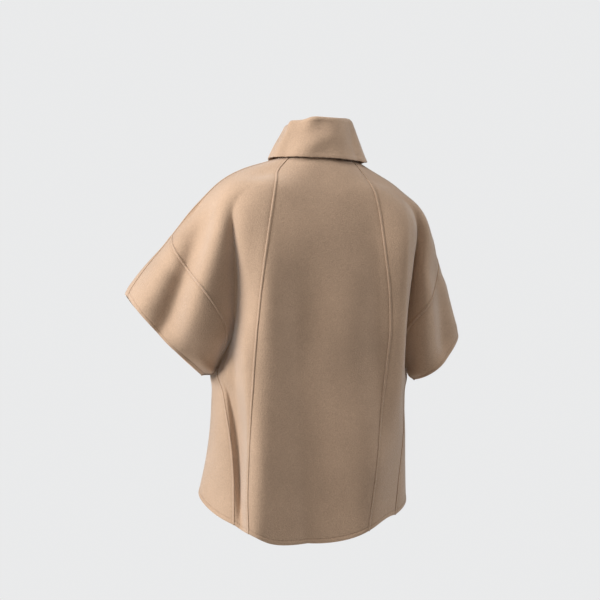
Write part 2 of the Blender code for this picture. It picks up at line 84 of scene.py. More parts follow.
class Half(Enum):
    """The back or the front of the cape."""

    BACK = "back"
    FRONT = "front"

    @property
    def facing(self) -> float:
        """+1 for the back, which faces +Y, and -1 for the front."""
        return 1.0 if self is Half.BACK else -1.0

    @property
    def other(self) -> "Half":
        """The opposite half."""
        return Half.FRONT if self is Half.BACK else Half.BACK


def rail(x: Sequence[float], y: Sequence[float], z: Sequence[float]) -> np.ndarray:
    """One line down the cape, with a row for each ring."""
    return np.column_stack([x, y, z])


def unit(vectors: np.ndarray) -> np.ndarray:
    """The vectors at length one."""
    length = np.linalg.norm(vectors, axis=-1, keepdims=True)
    return vectors / np.maximum(length, 1e-12)


def smooth(share: np.ndarray) -> np.ndarray:
    """An even rise from 0 to 1."""
    share = np.clip(share, 0.0, 1.0)
    return share * share * (3.0 - 2.0 * share)


def bump(distance: np.ndarray, width: float) -> np.ndarray:
    """A soft bump, 1 at no distance."""
    return np.exp(-((distance / width) ** 2))


def level(direction: Sequence[float]) -> np.ndarray:
    """A direction in plan as one in space."""
    return np.array([direction[0], direction[1], 0.0])


def run_length(line: np.ndarray) -> np.ndarray:
    """How far along the line each of its points lies."""
    return np.append(0.0, np.cumsum(np.linalg.norm(np.diff(line, axis=0), axis=1)))


def resampled(line: np.ndarray, count: int, rounds: int = 0) -> np.ndarray:
    """The line with evenly spaced points.

    Args:
        line: Points in order, one a row.
        count: Number of points wanted.
        rounds: Rounds of smoothing before the last spacing.

    Returns:
        An array with count rows.
    """
    for step in range(2 if rounds else 1):
        run = run_length(line)
        even = np.linspace(0.0, run[-1], count)
        line = np.column_stack([np.interp(even, run, values) for values in line.T])
        if rounds and step == 0:
            for _ in range(rounds):
                line[1:-1] = (line[:-2] + 2 * line[1:-1] + line[2:]) / 4
    return line


def bezier(start: np.ndarray, leave: np.ndarray, arrive: np.ndarray, end: np.ndarray) -> np.ndarray:
    """A cubic curve of RING_POINTS points, the same distance apart."""
    t = np.linspace(0.0, 1.0, 4 * RING_POINTS)[:, None]
    curve = (1 - t) ** 3 * start + 3 * t * (1 - t) ** 2 * leave + 3 * t * t * (1 - t) * arrive + t**3 * end
    return resampled(curve, RING_POINTS)


RING_POINTS = 121


@dataclass(frozen=True)
class Fold:
    """A soft fold of the cloth along a line, as seen from behind.

    Height is how far the cloth stands out, and is below zero for a trough. Inner and outer are the half
    widths towards the middle and towards the arm.
    """

    half: Half
    top: tuple[float, float]
    low: tuple[float, float]
    inner: float
    outer: float
    height: float

    def lift(self, points: np.ndarray) -> np.ndarray:
        """How far this fold lifts the cloth at the points."""
        run = np.subtract(self.low, self.top)
        length = np.linalg.norm(run)
        run = run / length
        x, z = points[..., 0] - self.top[0], points[..., 2] - self.top[1]
        along = x * run[0] + z * run[1]
        across = x * run[1] - z * run[0]
        outwards = across * (-1.0 if self.top[0] > 0 else 1.0) > 0
        width = np.where(outwards, self.outer, self.inner)
        fade = smooth(along / (0.35 * length)) * smooth((1.25 * length - along) / (0.35 * length))
        return self.height * np.exp(-((across / width) ** 2)) * fade


@dataclass(frozen=True)
class Pattern:
    """The cape's driving lines. Lists run by ring: neck, yoke, point, upper, blade, mid, sleeve, low, underarm."""

    wall: float = 2.8 * MM
    front_lap: float = 0.030
    lap_rise: float = 0.0045
    lap_ramp: float = 0.035
    lap_clear: float = 0.006
    princess_limit: float = 0.94
    centre_back: np.ndarray = field(
        default_factory=lambda: rail(
            x=(0.006, 0.009, 0.011, 0.013, 0.014, 0.014, 0.013, 0.014, 0.018, 0.021, 0.026, 0.031, 0.034),
            y=(0.068, 0.080, 0.090, 0.098, 0.103, 0.106, 0.107, 0.107, 0.106, 0.105, 0.101, 0.096, 0.090),
            z=(0.000, -0.038, -0.072, -0.112, -0.155, -0.205, -0.260, -0.330, -0.403, -0.480, -0.570, -0.650, -0.726),
        )
    )
    centre_front: np.ndarray = field(
        default_factory=lambda: rail(
            x=(0.006, 0.009, 0.011, 0.013, 0.014, 0.014, 0.013, 0.014, 0.018, 0.021, 0.026, 0.031, 0.034),
            y=(-0.066, -0.078, -0.090, -0.104, -0.118, -0.128, -0.134, -0.137, *(5 * (-0.138,))),
            z=(-0.036, -0.062, -0.090, -0.124, -0.162, -0.208, -0.260, -0.325, -0.395, -0.450, -0.505, -0.555, -0.595),
        )
    )
    princess_offset: dict[Side, tuple[float, ...]] = field(
        default_factory=lambda: {
            Side.LEFT: (0.060, 0.080, 0.088, 0.095, 0.102, 0.110, 0.117, 0.122, 0.123, 0.123, 0.121, 0.117, 0.113),
            Side.RIGHT: (0.068, 0.094, 0.107, 0.116, 0.123, 0.129, 0.134, 0.138, 0.137, 0.132, 0.127, 0.122, 0.117),
        }
    )
    shoulder_seam: dict[Side, np.ndarray] = field(
        default_factory=lambda: {
            Side.LEFT: rail(
                x=(0.072, 0.138, 0.184, 0.222, 0.255, 0.289, 0.317, 0.338, 0.348, 0.351),
                y=(-0.003, -0.014, -0.026, -0.034, -0.040, -0.046, -0.050, -0.055, -0.058, -0.060),
                z=(0.001, -0.021, -0.045, -0.086, -0.128, -0.169, -0.205, -0.236, -0.253, -0.264),
            ),
            Side.RIGHT: rail(
                x=(-0.072, -0.128, -0.168, -0.200, -0.226, -0.248, -0.266, -0.285, -0.299, -0.308),
                y=(-0.003, -0.012, -0.020, -0.025, -0.029, -0.031, -0.034, -0.040, -0.046, -0.050),
                z=(0.000, -0.030, -0.052, -0.080, -0.118, -0.160, -0.210, -0.268, -0.308, -0.334),
            ),
        }
    )
    back_hollow: dict[Side, np.ndarray] = field(
        default_factory=lambda: {
            Side.LEFT: rail(
                x=(0.062, 0.097, 0.137, 0.168, 0.170, 0.166, 0.163, 0.163),
                y=(0.036, 0.052, 0.064, 0.058, 0.050, 0.046, 0.038, 0.026),
                z=(0.001, -0.030, -0.052, -0.092, -0.140, -0.195, -0.255, -0.328),
            ),
            Side.RIGHT: rail(
                x=(-0.062, -0.099, -0.137, -0.177, -0.194, -0.189, -0.178, -0.170),
                y=(0.036, 0.052, 0.062, 0.056, 0.048, 0.040, 0.032, 0.022),
                z=(0.000, -0.034, -0.060, -0.096, -0.140, -0.195, -0.258, -0.330),
            ),
        }
    )
    front_hollow: dict[Side, np.ndarray] = field(
        default_factory=lambda: {
            Side.LEFT: rail(
                x=(0.046, 0.085, 0.130, 0.165, 0.176, 0.174, 0.168, 0.167),
                y=(-0.048, -0.062, -0.074, -0.086, -0.093, -0.096, -0.094, -0.078),
                z=(-0.018, -0.044, -0.066, -0.102, -0.147, -0.200, -0.258, -0.330),
            ),
            Side.RIGHT: rail(
                x=(-0.046, -0.085, -0.126, -0.160, -0.172, -0.172, -0.168, -0.166),
                y=(-0.048, -0.062, -0.074, -0.086, -0.093, -0.096, -0.094, -0.078),
                z=(-0.018, -0.044, -0.070, -0.104, -0.149, -0.202, -0.260, -0.332),
            ),
        }
    )
    side_seam: dict[Side, np.ndarray] = field(
        default_factory=lambda: {
            Side.LEFT: rail(
                x=(0.181, 0.173, 0.169, 0.170), y=(0.010, 0.028, 0.042, 0.050), z=(-0.450, -0.530, -0.615, -0.693)
            ),
            Side.RIGHT: rail(
                x=(-0.178, -0.170, -0.158, -0.149), y=(0.010, 0.026, 0.038, 0.045), z=(-0.450, -0.530, -0.610, -0.682)
            ),
        }
    )
    underarm_point: dict[Side, tuple[float, float, float]] = field(
        default_factory=lambda: {Side.LEFT: (0.189, -0.010, -0.402), Side.RIGHT: (-0.188, -0.008, -0.406)}
    )
    underarm_normal: tuple[float, float, float] = (0.60, 0.10, -0.79)
    cuff_low_point: dict[Side, tuple[float, float, float]] = field(
        default_factory=lambda: {Side.LEFT: (0.215, -0.030, -0.413), Side.RIGHT: (-0.204, -0.010, -0.426)}
    )
    # How sharply each ring turns into the hollows, from 0, where the ring is round, to 1.
    turn_in: dict[Half, tuple[float, ...]] = field(
        default_factory=lambda: {
            Half.BACK: (0.0, 0.0, 0.04, 0.40, 0.8, 1.0, 1.0, 1.0),
            Half.FRONT: (0.0, 0.0, 0.05, 0.15, 0.25, 0.3, 0.3, 0.3),
        }
    )
    round_turn: tuple[float, float] = (0.75, -0.66)
    side_turn: tuple[tuple[float, float], ...] = (
        (0.20, -0.98), (0.35, -0.94), (0.52, -0.85), (0.66, -0.75), (0.72, -0.69),
    )
    sleeve_turn: dict[Half, tuple[float, float, float]] = field(
        default_factory=lambda: {Half.BACK: (0.035, 0.075, 0.013), Half.FRONT: (0.030, -0.090, 0.034)}
    )
    cuff_top: dict[tuple[Half, Side], tuple[float, float, float]] = field(
        default_factory=lambda: {
            (Half.BACK, Side.LEFT): (-0.004, 0.075, -0.036),
            (Half.BACK, Side.RIGHT): (-0.016, 0.058, -0.030),
            (Half.FRONT, Side.LEFT): (0.016, -0.098, 0.030),
            (Half.FRONT, Side.RIGHT): (0.012, -0.105, 0.006),
        }
    )
    hem_drop: dict[Side, float] = field(default_factory=lambda: {Side.LEFT: 0.030, Side.RIGHT: 0.0})
    shoulder_tilt: dict[Side, float] = field(default_factory=lambda: {Side.LEFT: 0.16, Side.RIGHT: 0.04})
    armhole_start: dict[Side, float] = field(default_factory=lambda: {Side.LEFT: 4.4, Side.RIGHT: 5.6})
    armhole_bend: dict[Side, float] = field(default_factory=lambda: {Side.LEFT: 1.6, Side.RIGHT: 2.4})
    folds: tuple[Fold, ...] = (
        Fold(Half.BACK, (0.202, -0.050), (0.302, -0.325), 0.025, 0.017, -0.022),
        Fold(Half.BACK, (0.198, -0.070), (0.252, -0.330), 0.036, 0.020, 0.008),
        Fold(Half.BACK, (0.290, -0.190), (0.334, -0.290), 0.018, 0.020, 0.008),
        Fold(Half.BACK, (0.159, -0.200), (0.145, -0.740), 0.024, 0.006, 0.012),
        Fold(Half.BACK, (0.171, -0.240), (0.158, -0.640), 0.006, 0.016, -0.020),
        Fold(Half.BACK, (-0.262, -0.200), (-0.296, -0.330), 0.024, 0.022, 0.010),
        Fold(Half.BACK, (-0.232, -0.150), (-0.262, -0.360), 0.024, 0.020, -0.014),
        Fold(Half.BACK, (-0.090, -0.040), (-0.102, -0.480), 0.034, 0.022, -0.008),
        Fold(Half.BACK, (-0.152, -0.060), (-0.152, -0.470), 0.026, 0.012, 0.012),
        Fold(Half.BACK, (-0.188, -0.080), (-0.184, -0.400), 0.012, 0.018, -0.017),
        Fold(Half.BACK, (0.116, -0.020), (0.128, -0.760), 0.028, 0.024, 0.009),
        Fold(Half.BACK, (0.052, -0.120), (0.028, -0.820), 0.056, 0.036, -0.014),
        Fold(Half.BACK, (-0.085, -0.420), (-0.075, -0.800), 0.040, 0.040, 0.006),
        Fold(Half.FRONT, (0.235, -0.130), (0.300, -0.330), 0.030, 0.026, -0.016),
        Fold(Half.FRONT, (-0.225, -0.140), (-0.275, -0.370), 0.030, 0.026, -0.016),
        Fold(Half.FRONT, (0.085, -0.200), (0.105, -0.700), 0.045, 0.045, -0.010),
        Fold(Half.FRONT, (-0.080, -0.240), (-0.070, -0.700), 0.045, 0.045, -0.009),
    )


class Quarter:
    """One quarter of the cape, from the middle of its back or front to the shoulder or side seam.

    A place on it is (ring, column): column 0 is the middle, 1 the hollow and below it the side seam, and 2
    the shoulder seam. Columns past 1 end at the cuff.
    """

    CALM_WIDTH = 0.12  # columns over which the folds rise from a seam
    NORMAL_STEP = 2e-3  # rings between the points that a normal is measured from
    SOFT_ROUNDS = 22  # rounds of smoothing that soften the crease in the hollow
    SOFT_REACH = 20  # points to each side of the crease that the smoothing reaches

    def __init__(self, pattern: Pattern, half: Half, side: Side) -> None:
        """Draws the quarter's rings.

        Args:
            pattern: The cape's driving lines.
            half: Back or front.
            side: The wearer's left or right.
        """
        self.pattern, self.half, self.side = pattern, half, side
        self.sign, self.facing = side.sign, half.facing
        back = half is Half.BACK
        self.middle = pattern.centre_back if back else pattern.centre_front
        hollow = (pattern.back_hollow if back else pattern.front_hollow)[side]
        self.hollow = np.vstack([hollow, pattern.underarm_point[side], pattern.cuff_low_point[side]])
        self.outer = np.vstack([pattern.underarm_point[side], pattern.side_seam[side]])
        self.shoulder = pattern.shoulder_seam[side]
        self.turn_in = pattern.turn_in[half]
        self.body = np.array([self.body_ring(k) for k in range(HEM + 1)])
        self.sleeve = np.array([self.sleeve_ring(k) for k in range(CUFF + 1)])
        self.soften_hollow()
        self.body_slope = np.gradient(self.body, axis=0)
        self.sleeve_slope = np.gradient(self.sleeve, axis=0)

    def turned(self, direction: Sequence[float]) -> np.ndarray:
        """A plan direction given for the left back, as it is on this quarter."""
        return np.array([direction[0] * self.sign, direction[1] * self.facing])

    def body_ring(self, k: int) -> np.ndarray:
        """The ring from the middle to the hollow, or to the side seam.

        Args:
            k: Number of the ring.

        Returns:
            Points along the ring.
        """
        start = self.middle[k]
        if k < UNDERARM:
            end, fold = self.hollow[k], self.turn_in[k]
            heading = (1 - fold) * self.turned(self.pattern.round_turn) + fold * self.turned((0.0, -1.0))
            reach = (0.38 - 0.06 * fold) * np.linalg.norm(end - start)
            out = 0.55 + 0.27 * fold
            return bezier(start, start + [out * (end - start)[0], 0, 0], end - level(heading) * reach, end)
        end = self.outer[k - UNDERARM]
        turn = np.array(self.pattern.side_turn[k - UNDERARM]) * [self.sign, 1.0]
        share = (k - UNDERARM) / (HEM - UNDERARM)
        if self.half is Half.BACK:
            leave = start + [(0.76 - 0.14 * share) * (end - start)[0], 0.002, -0.010 * share]
            arrive = end - level(turn) * (0.072 - 0.012 * share) - np.array([0, 0, self.pattern.hem_drop[self.side] * share])
            return bezier(start, leave, arrive, end)
        leave = start + [(0.78 + 0.10 * share) * (end - start)[0], 0, 0]
        arrive = end + level(turn) * (0.075 + 0.090 * share) + np.array([0, 0, 0.055 * share])
        return bezier(start, leave, arrive, end)

    def sleeve_ring(self, k: int) -> np.ndarray:
        """The ring from the hollow to the shoulder seam, or round the cuff.

        Args:
            k: Number of the ring.

        Returns:
            Points along the ring.
        """
        start, end = self.hollow[k], self.shoulder[k]
        mirror = np.array([self.sign, 1.0, 1.0])
        low = np.array(self.pattern.sleeve_turn[self.half]) * mirror
        top = np.array(self.pattern.cuff_top[self.half, self.side]) * mirror
        if k >= UNDERARM:
            return bezier(start, start + low, end + top, end)
        fold = self.turn_in[k]
        rising = self.turned((0.64, 0.77) if self.half is Half.BACK else (0.93, 0.37))
        heading = unit((1 - fold) * self.turned(self.pattern.round_turn) + fold * rising)
        span = np.linalg.norm(end - start)
        leave = level(heading) * (0.36 + 0.10 * fold) * span
        tilt = self.pattern.shoulder_tilt[self.side] * smooth(k / 5)
        arrive = level(self.turned((-tilt, 1.0)) * [self.facing, 1.0]) * 0.30 * (abs(start[1] - end[1]) + span)
        near = smooth((k - 4) / (UNDERARM - 4)) ** 2
        return bezier(start, start + (1 - near) * leave + near * low, end + (1 - near) * arrive + near * top, end)

    def soften_hollow(self) -> None:
        """Rounds the crease where the body's rings meet the sleeve's, less and less towards the underarm."""
        for k in range(2, UNDERARM):
            line = np.vstack([self.body[k], self.sleeve[k][1:]])
            weight = smooth(1.0 - np.abs(np.arange(len(line)) - RING_POINTS + 1) / self.SOFT_REACH)[:, None]
            for _ in range(int(self.SOFT_ROUNDS * min(1.0, (UNDERARM - k) / 3))):
                line[1:-1] += weight[1:-1] * (line[:-2] + line[2:] - 2 * line[1:-1]) / 2
            self.body[k], self.sleeve[k] = line[:RING_POINTS], line[RING_POINTS - 1 :]

    def join_underarm(self, shared: np.ndarray) -> None:
        """Gives the body's part and the sleeve's part the same slope at the underarm point.

        Args:
            shared: How far the four meeting surfaces move there from ring to ring, on average.
        """
        column = np.linspace(0.0, 1.0, RING_POINTS)[:, None]
        self.body_slope[UNDERARM] += (shared - self.body_slope[UNDERARM][-1]) * smooth((column - 0.7) / 0.3)
        self.sleeve_slope[UNDERARM] += (shared - self.sleeve_slope[UNDERARM][0]) * smooth((0.3 - column) / 0.3)

    def base(self, ring: np.ndarray, column: np.ndarray) -> np.ndarray:
        """Points of the smooth cloth without its soft folds.

        Args:
            ring: Ring numbers, whole or in between.
            column: Column numbers, of the same shape or one that spreads to it.

        Returns:
            Points, with a last axis of three.
        """
        ring, column = np.broadcast_arrays(np.asarray(ring, float), np.asarray(column, float))
        points = np.empty(ring.shape + (3,))
        on_body = column <= 1.0
        for mask, rows, slope, along in (
            (on_body, self.body, self.body_slope, column),
            (~on_body, self.sleeve, self.sleeve_slope, column - 1.0),
        ):
            if not mask.any():
                continue
            r = np.clip(ring[mask], 0.0, len(rows) - 1.0)
            k = np.minimum(r.astype(int), len(rows) - 2)
            t = (r - k)[:, None]
            place = np.clip(along[mask], 0.0, 1.0) * (RING_POINTS - 1)
            j = np.minimum(place.astype(int), RING_POINTS - 2)
            part = (place - j)[:, None]
            upper, lower = (rows[n, j] * (1 - part) + rows[n, j + 1] * part for n in (k, k + 1))
            leaving, arriving = (slope[n, j] * (1 - part) + slope[n, j + 1] * part for n in (k, k + 1))
            points[mask] = (
                (1 - 3 * t**2 + 2 * t**3) * upper
                + (t**3 - 2 * t**2 + t) * leaving
                + (3 * t**2 - 2 * t**3) * lower
                + (t**3 - t**2) * arriving
            )
        return points

    def surface(self, ring: np.ndarray, column: np.ndarray) -> np.ndarray:
        """Points of the folded cloth at these rings and columns."""
        points = self.base(ring, column)
        own = [fold for fold in self.pattern.folds if fold.half is self.half]
        lift = sum(fold.lift(points) for fold in own) * self.calm(ring, column)
        aside = self.sign * 0.4 * smooth((np.asarray(column, float) + 0 * lift) / 2.0)
        away = np.stack([aside, np.full_like(lift, self.facing), np.full_like(lift, 0.15)], axis=-1)
        return points + unit(away) * lift[..., None]

    def calm(self, ring: np.ndarray, column: np.ndarray) -> np.ndarray:
        """From 0 to 1: the folds die away at the seams that two quarters share."""
        ring, column = np.broadcast_arrays(np.asarray(ring, float), np.asarray(column, float))
        above = np.minimum(column, 2.0 - column) if self.half is Half.FRONT else 2.0 - column
        below = np.where(column > 1.0, np.minimum(column - 1.0, 2.0 - column), 1.0 - column)
        past = smooth(ring - UNDERARM + 1.0)
        return (1 - past) * smooth(above / self.CALM_WIDTH) + past * smooth(below / self.CALM_WIDTH)

    def normal(self, ring: np.ndarray, column: np.ndarray) -> np.ndarray:
        """The outward normal of the folded cloth, from small steps along it."""
        ring, column = np.broadcast_arrays(np.asarray(ring, float), np.asarray(column, float))
        step, wide = self.NORMAL_STEP, 8 * self.NORMAL_STEP
        bottom = np.where(column > 1.0, float(CUFF), float(HEM))
        down = self.surface(np.minimum(ring + step, bottom), column) - self.surface(np.maximum(ring - step, 0), column)
        far = np.minimum(column + wide, np.where(column > 1.0, 2.0, 1.0))
        near = np.maximum(column - wide, np.where(column > 1.0, SLEEVE_SIDE, 0.0))
        across = self.surface(ring, far) - self.surface(ring, near)
        return unit(np.cross(across, down)) * self.sign * self.facing


@dataclass(frozen=True)
class Ripples:
    """The small unevenness of hanging cloth: many shallow waves that run mostly down the garment."""

    count: int = 16
    height: float = 0.00050
    across: tuple[float, float] = (25.0, 75.0)
    down: tuple[float, float] = (4.0, 26.0)
    seed: int = 41

    def lift(self, points: np.ndarray) -> np.ndarray:
        """How far the waves lift the cloth at the points."""
        draw = np.random.default_rng(self.seed)
        lift = np.zeros(points.shape[:-1])
        for _ in range(self.count):
            heading = draw.uniform(0.0, 2.0 * math.pi)
            level_rate, down_rate = draw.uniform(*self.across), draw.uniform(*self.down)
            wave = np.array([level_rate * math.cos(heading), level_rate * math.sin(heading), down_rate])
            lift += self.height * np.sin(points @ wave + draw.uniform(0.0, 2.0 * math.pi))
        return lift


class CapeForm:
    """The whole form: four quarters joined at their seams, with the cloth's ripples."""

    def __init__(self, pattern: Pattern, ripples: Ripples) -> None:
        """Draws the quarters and joins each pair at its underarm point."""
        self.pattern, self.ripples = pattern, ripples
        self.quarters = {(half, side): Quarter(pattern, half, side) for half in Half for side in Side}
        self.seam_points: list[np.ndarray] = []
        self.seam_tree: KDTree | None = None
        for side in Side:
            pair = [self.quarters[half, side] for half in Half]
            slopes = [q.body_slope[UNDERARM][-1] for q in pair] + [q.sleeve_slope[UNDERARM][0] for q in pair]
            for quarter in pair:
                quarter.join_underarm(np.mean(slopes, axis=0))

    def place(self, half: Half, side: Side, ring: np.ndarray, column: np.ndarray) -> tuple[np.ndarray, np.ndarray]:
        """Points and outward normals of the cloth's outer face.

        Args:
            half: Back or front.
            side: The wearer's left or right.
            ring: Ring numbers.
            column: Column numbers.

        Returns:
            The points and the normals, each with a last axis of three. Quarters agree along their seams.
        """
        quarter = self.quarters[half, side]
        ring, column = np.broadcast_arrays(np.asarray(ring, float), np.asarray(column, float))
        at_hollow = (np.abs(column - 1.0) < 1e-6) & (ring < UNDERARM - 1e-6)
        column = np.where(at_hollow, 1.0, column)
        points, normals = quarter.surface(ring, column), quarter.normal(ring, column)
        if at_hollow.any():
            normals[at_hollow] = unit(normals[at_hollow] + quarter.normal(ring[at_hollow], SLEEVE_SIDE))
        at_side = (np.abs(column - 1.0) < 1e-6) & (ring > UNDERARM - 1e-6)
        for mask, neighbour in (
            (column > 2.0 - 1e-6, self.quarters[half.other, side]),
            (at_side, self.quarters[half.other, side]),
            (column < 1e-6, self.quarters[half, side.other]),
        ):
            if mask.any():
                normals[mask] = unit(normals[mask] + neighbour.normal(ring[mask], column[mask]))
        at_underarm = np.linalg.norm(points - self.pattern.underarm_point[side], axis=-1) < 1e-6
        normals[at_underarm] = unit(np.array(self.pattern.underarm_normal) * [side.sign, 1.0, 1.0])
        return points + normals * self.ripples.lift(points)[..., None], normals

    def column_at(self, half: Half, side: Side, ring: np.ndarray, distance: np.ndarray) -> np.ndarray:
        """The column that lies this far to the side of the middle.

        Args:
            half: Back or front.
            side: The wearer's left or right.
            ring: Ring numbers, in one row.
            distance: Metres from the middle, one for all rings or one each.

        Returns:
            A column number for each ring.
        """
        quarter = self.quarters[half, side]
        columns = np.linspace(0.0, self.pattern.princess_limit, 200)
        ring = np.atleast_1d(ring)
        across = np.abs(quarter.base(ring[:, None], columns)[..., 0] - quarter.base(ring, 0.0)[:, None, 0])
        distance = np.broadcast_to(distance, ring.shape)
        return np.array([np.interp(far, row, columns) for far, row in zip(distance, across)])

    def princess_column(self, side: Side, ring: np.ndarray) -> np.ndarray:
        """The column of the long back seam at each ring."""
        offset = np.interp(ring, np.arange(HEM + 1), self.pattern.princess_offset[side])
        return self.column_at(Half.BACK, side, ring, offset)

    def armhole_column(self, side: Side, ring: np.ndarray) -> np.ndarray:
        """The column of the armhole seam, from the shoulder seam down to the underarm point."""
        share = np.clip((UNDERARM - ring) / (UNDERARM - self.pattern.armhole_start[side]), 0.0, 1.0)
        return 1.0 + share ** self.pattern.armhole_bend[side]

    def remember_seam(self, points: np.ndarray) -> None:
        """Keeps a seam's line, so that the panels can sink towards it."""
        self.seam_points.append(points)

    def seam_distance(self, points: np.ndarray) -> np.ndarray:
        """How far each point lies from the nearest seam."""
        if self.seam_tree is None:
            every = np.vstack(self.seam_points)
            self.seam_tree = KDTree(len(every))
            for index, point in enumerate(every):
                self.seam_tree.insert(Vector(point), index)
            self.seam_tree.balance()
        found = [self.seam_tree.find(Vector(point))[2] for point in points.reshape(-1, 3)]
        return np.array(found).reshape(points.shape[:-1])


@dataclass(frozen=True)
class TurnedEdge:
    """An edge that is turned in and sewn down: a full rim, and a sunk line of stitches above it, with painted shade
    along that line.
    """

    line: float = 0.0085  # from the edge to the stitches
    groove: float = 0.00045
    fullness: float = 0.00045
    # Painted shade in the sunk line of stitches: how dark the line is drawn.
    tint: float = 0.40  # how dark the line of stitches is
    pitch: float = 0.0062  # from stitch to stitch
    zone: float = 0.0160
    steps: tuple[float, ...] = (
        0.0138, 0.0120, 0.0106, 0.0096, 0.0090, 0.0085, 0.0080, 0.0074, 0.0064, 0.0048, 0.0030, 0.0016, 0.0,
    )

    def stations(self, start: float, last: float, rate: np.ndarray, count: int) -> np.ndarray:
        """Places along lines that end at the edge: even ones, and then the close ones of the edge itself.

        Args:
            start: Where the lines start, as a ring, column or share.
            last: Where the edge is, in the same unit.
            rate: Metres per unit at the edge, for each line.
            count: Number of even steps.

        Returns:
            An array with a row for each place and a column for each line.
        """
        share = np.linspace(0.0, 1.0, count + 1)[:, None]
        even = start + share * (last - self.zone / rate[None, :] - start)
        close = last - np.array(self.steps)[:, None] / rate[None, :]
        return np.vstack([even, close])

    def relief(self, rows: int, along: np.ndarray) -> tuple[np.ndarray, np.ndarray]:
        """Height and painted shade over lines made by stations.

        Args:
            rows: Number of places on each line.
            along: How far along the edge each line lies.

        Returns:
            The height and the shade, each with a row for each place and a column for each line.
        """
        distance = np.append(np.full(rows - len(self.steps), 2 * self.zone), self.steps)[:, None]
        stitch = 0.72 + 0.28 * np.cos(2.0 * math.pi * along / self.pitch)[None, :]
        sunk = bump(distance - self.line, 0.0011) * stitch
        full = smooth((self.line - distance) / 0.003) * self.fullness
        # The line of stitches is sunk and also painted darker as shade.
        return full - sunk * self.groove, self.tint * sunk


class Cloth:
    """A sheet made of one or more grids, welded, and then given its thickness."""

    SEAM_SINK = 0.00045  # the cloth lies this much lower along a seam
    SEAM_REACH = 0.0055

    def __init__(self, form: CapeForm) -> None:
        """Starts an empty sheet on the form."""
        self.form = form
        self.points: list[np.ndarray] = []
        self.normals: list[np.ndarray] = []
        self.shades: list[np.ndarray] = []
        self.faces: list[np.ndarray] = []

    def grid(self, points: np.ndarray, normals: np.ndarray, shade: np.ndarray, flip: bool) -> None:
        """Adds a grid.

        Args:
            points: Rows and columns of points.
            normals: Their outward normals.
            shade: Painted shade at each point, from 0 to 1.
            flip: Whether the faces are to be wound the other way.
        """
        rows, columns = points.shape[:2]
        first = sum(len(p) for p in self.points)
        index = first + np.arange(rows * columns).reshape(rows, columns)
        a, b, c, d = index[:-1, :-1], index[:-1, 1:], index[1:, 1:], index[1:, :-1]
        corners = [a, b, c, d] if flip else [a, d, c, b]
        self.points.append(points.reshape(-1, 3))
        self.normals.append(normals.reshape(-1, 3))
        self.shades.append(np.broadcast_to(shade, (rows, columns)).reshape(-1))
        self.faces.append(np.stack(corners, axis=-1).reshape(-1, 4))

    def patch(self, half: Half, side: Side, ring: np.ndarray, column: np.ndarray, lift: np.ndarray, shade: np.ndarray) -> None:
        """Adds part of a quarter, sunk a little along the seams and painted with shade beside them.

        Args:
            half: Back or front.
            side: The wearer's left or right.
            ring: Ring numbers, rows by columns.
            column: Column numbers, rows by columns.
            lift: How far to move the points out.
            shade: Painted shade at each point.
        """
        points, normals = self.form.place(half, side, ring, column)
        seam = bump(self.form.seam_distance(points), self.SEAM_REACH)
        points = points + normals * (lift - self.SEAM_SINK * seam)[..., None]
        # Painted shade beside the seams, up to 0.22, where the cloth sinks.
        self.grid(points, normals, np.maximum(shade, 0.22 * seam), flip=(side is Side.LEFT) == (half is Half.BACK))

    def welded(self) -> tuple[np.ndarray, np.ndarray, np.ndarray, list[list[int]]]:
        """Points, normals, shades and faces, with the points that coincide made one."""
        points, normals, shades = np.vstack(self.points), np.vstack(self.normals), np.concatenate(self.shades)
        _, first, index = np.unique(np.round(points / 2e-6), axis=0, return_index=True, return_inverse=True)
        index = index.reshape(-1)
        joined = np.zeros((len(first), 3))
        np.add.at(joined, index, normals)
        faces = [list(dict.fromkeys(face)) for face in index[np.vstack(self.faces)].tolist()]
        return points[first], unit(joined), shades[first], [face for face in faces if len(face) > 2]

    def shell(self, name: str, thickness: float, outside: float = 0.0) -> bpy.types.Object:
        """The sheet as a closed wall with rounded rims.

        Args:
            name: Name of the piece.
            thickness: Thickness of the wall.
            outside: How far the outer face stands out from the sheet.

        Returns:
            The piece.
        """
        points, normals, shades, faces = self.welded()
        points = points + normals * outside
        border = border_edges(faces)
        rim = Rim(points, normals, faces, border, thickness)
        outer, inner = points.copy(), points - normals * thickness
        outer[rim.corners] += rim.inset
        inner[rim.corners] += rim.inset
        count = len(points)
        walls = faces + [[v + count for v in reversed(face)] for face in faces]
        extra, strips = rim.band(outer, inner, count)
        # Painted shade: the inner face gets 0.6 of the outer face's, and the rim gets that of its border.
        shade = np.concatenate([shades, shades * 0.6, np.tile(shades[rim.corners], Rim.STEPS)])
        return make_piece(name, np.vstack([outer, inner, extra]), walls + strips, shade)


def border_edges(faces: list[list[int]]) -> list[tuple[int, int]]:
    """The directed edges that only one face has."""
    directed = {(start, end) for face in faces for start, end in zip(face, face[1:] + face[:1])}
    return sorted(edge for edge in directed if edge[::-1] not in directed)


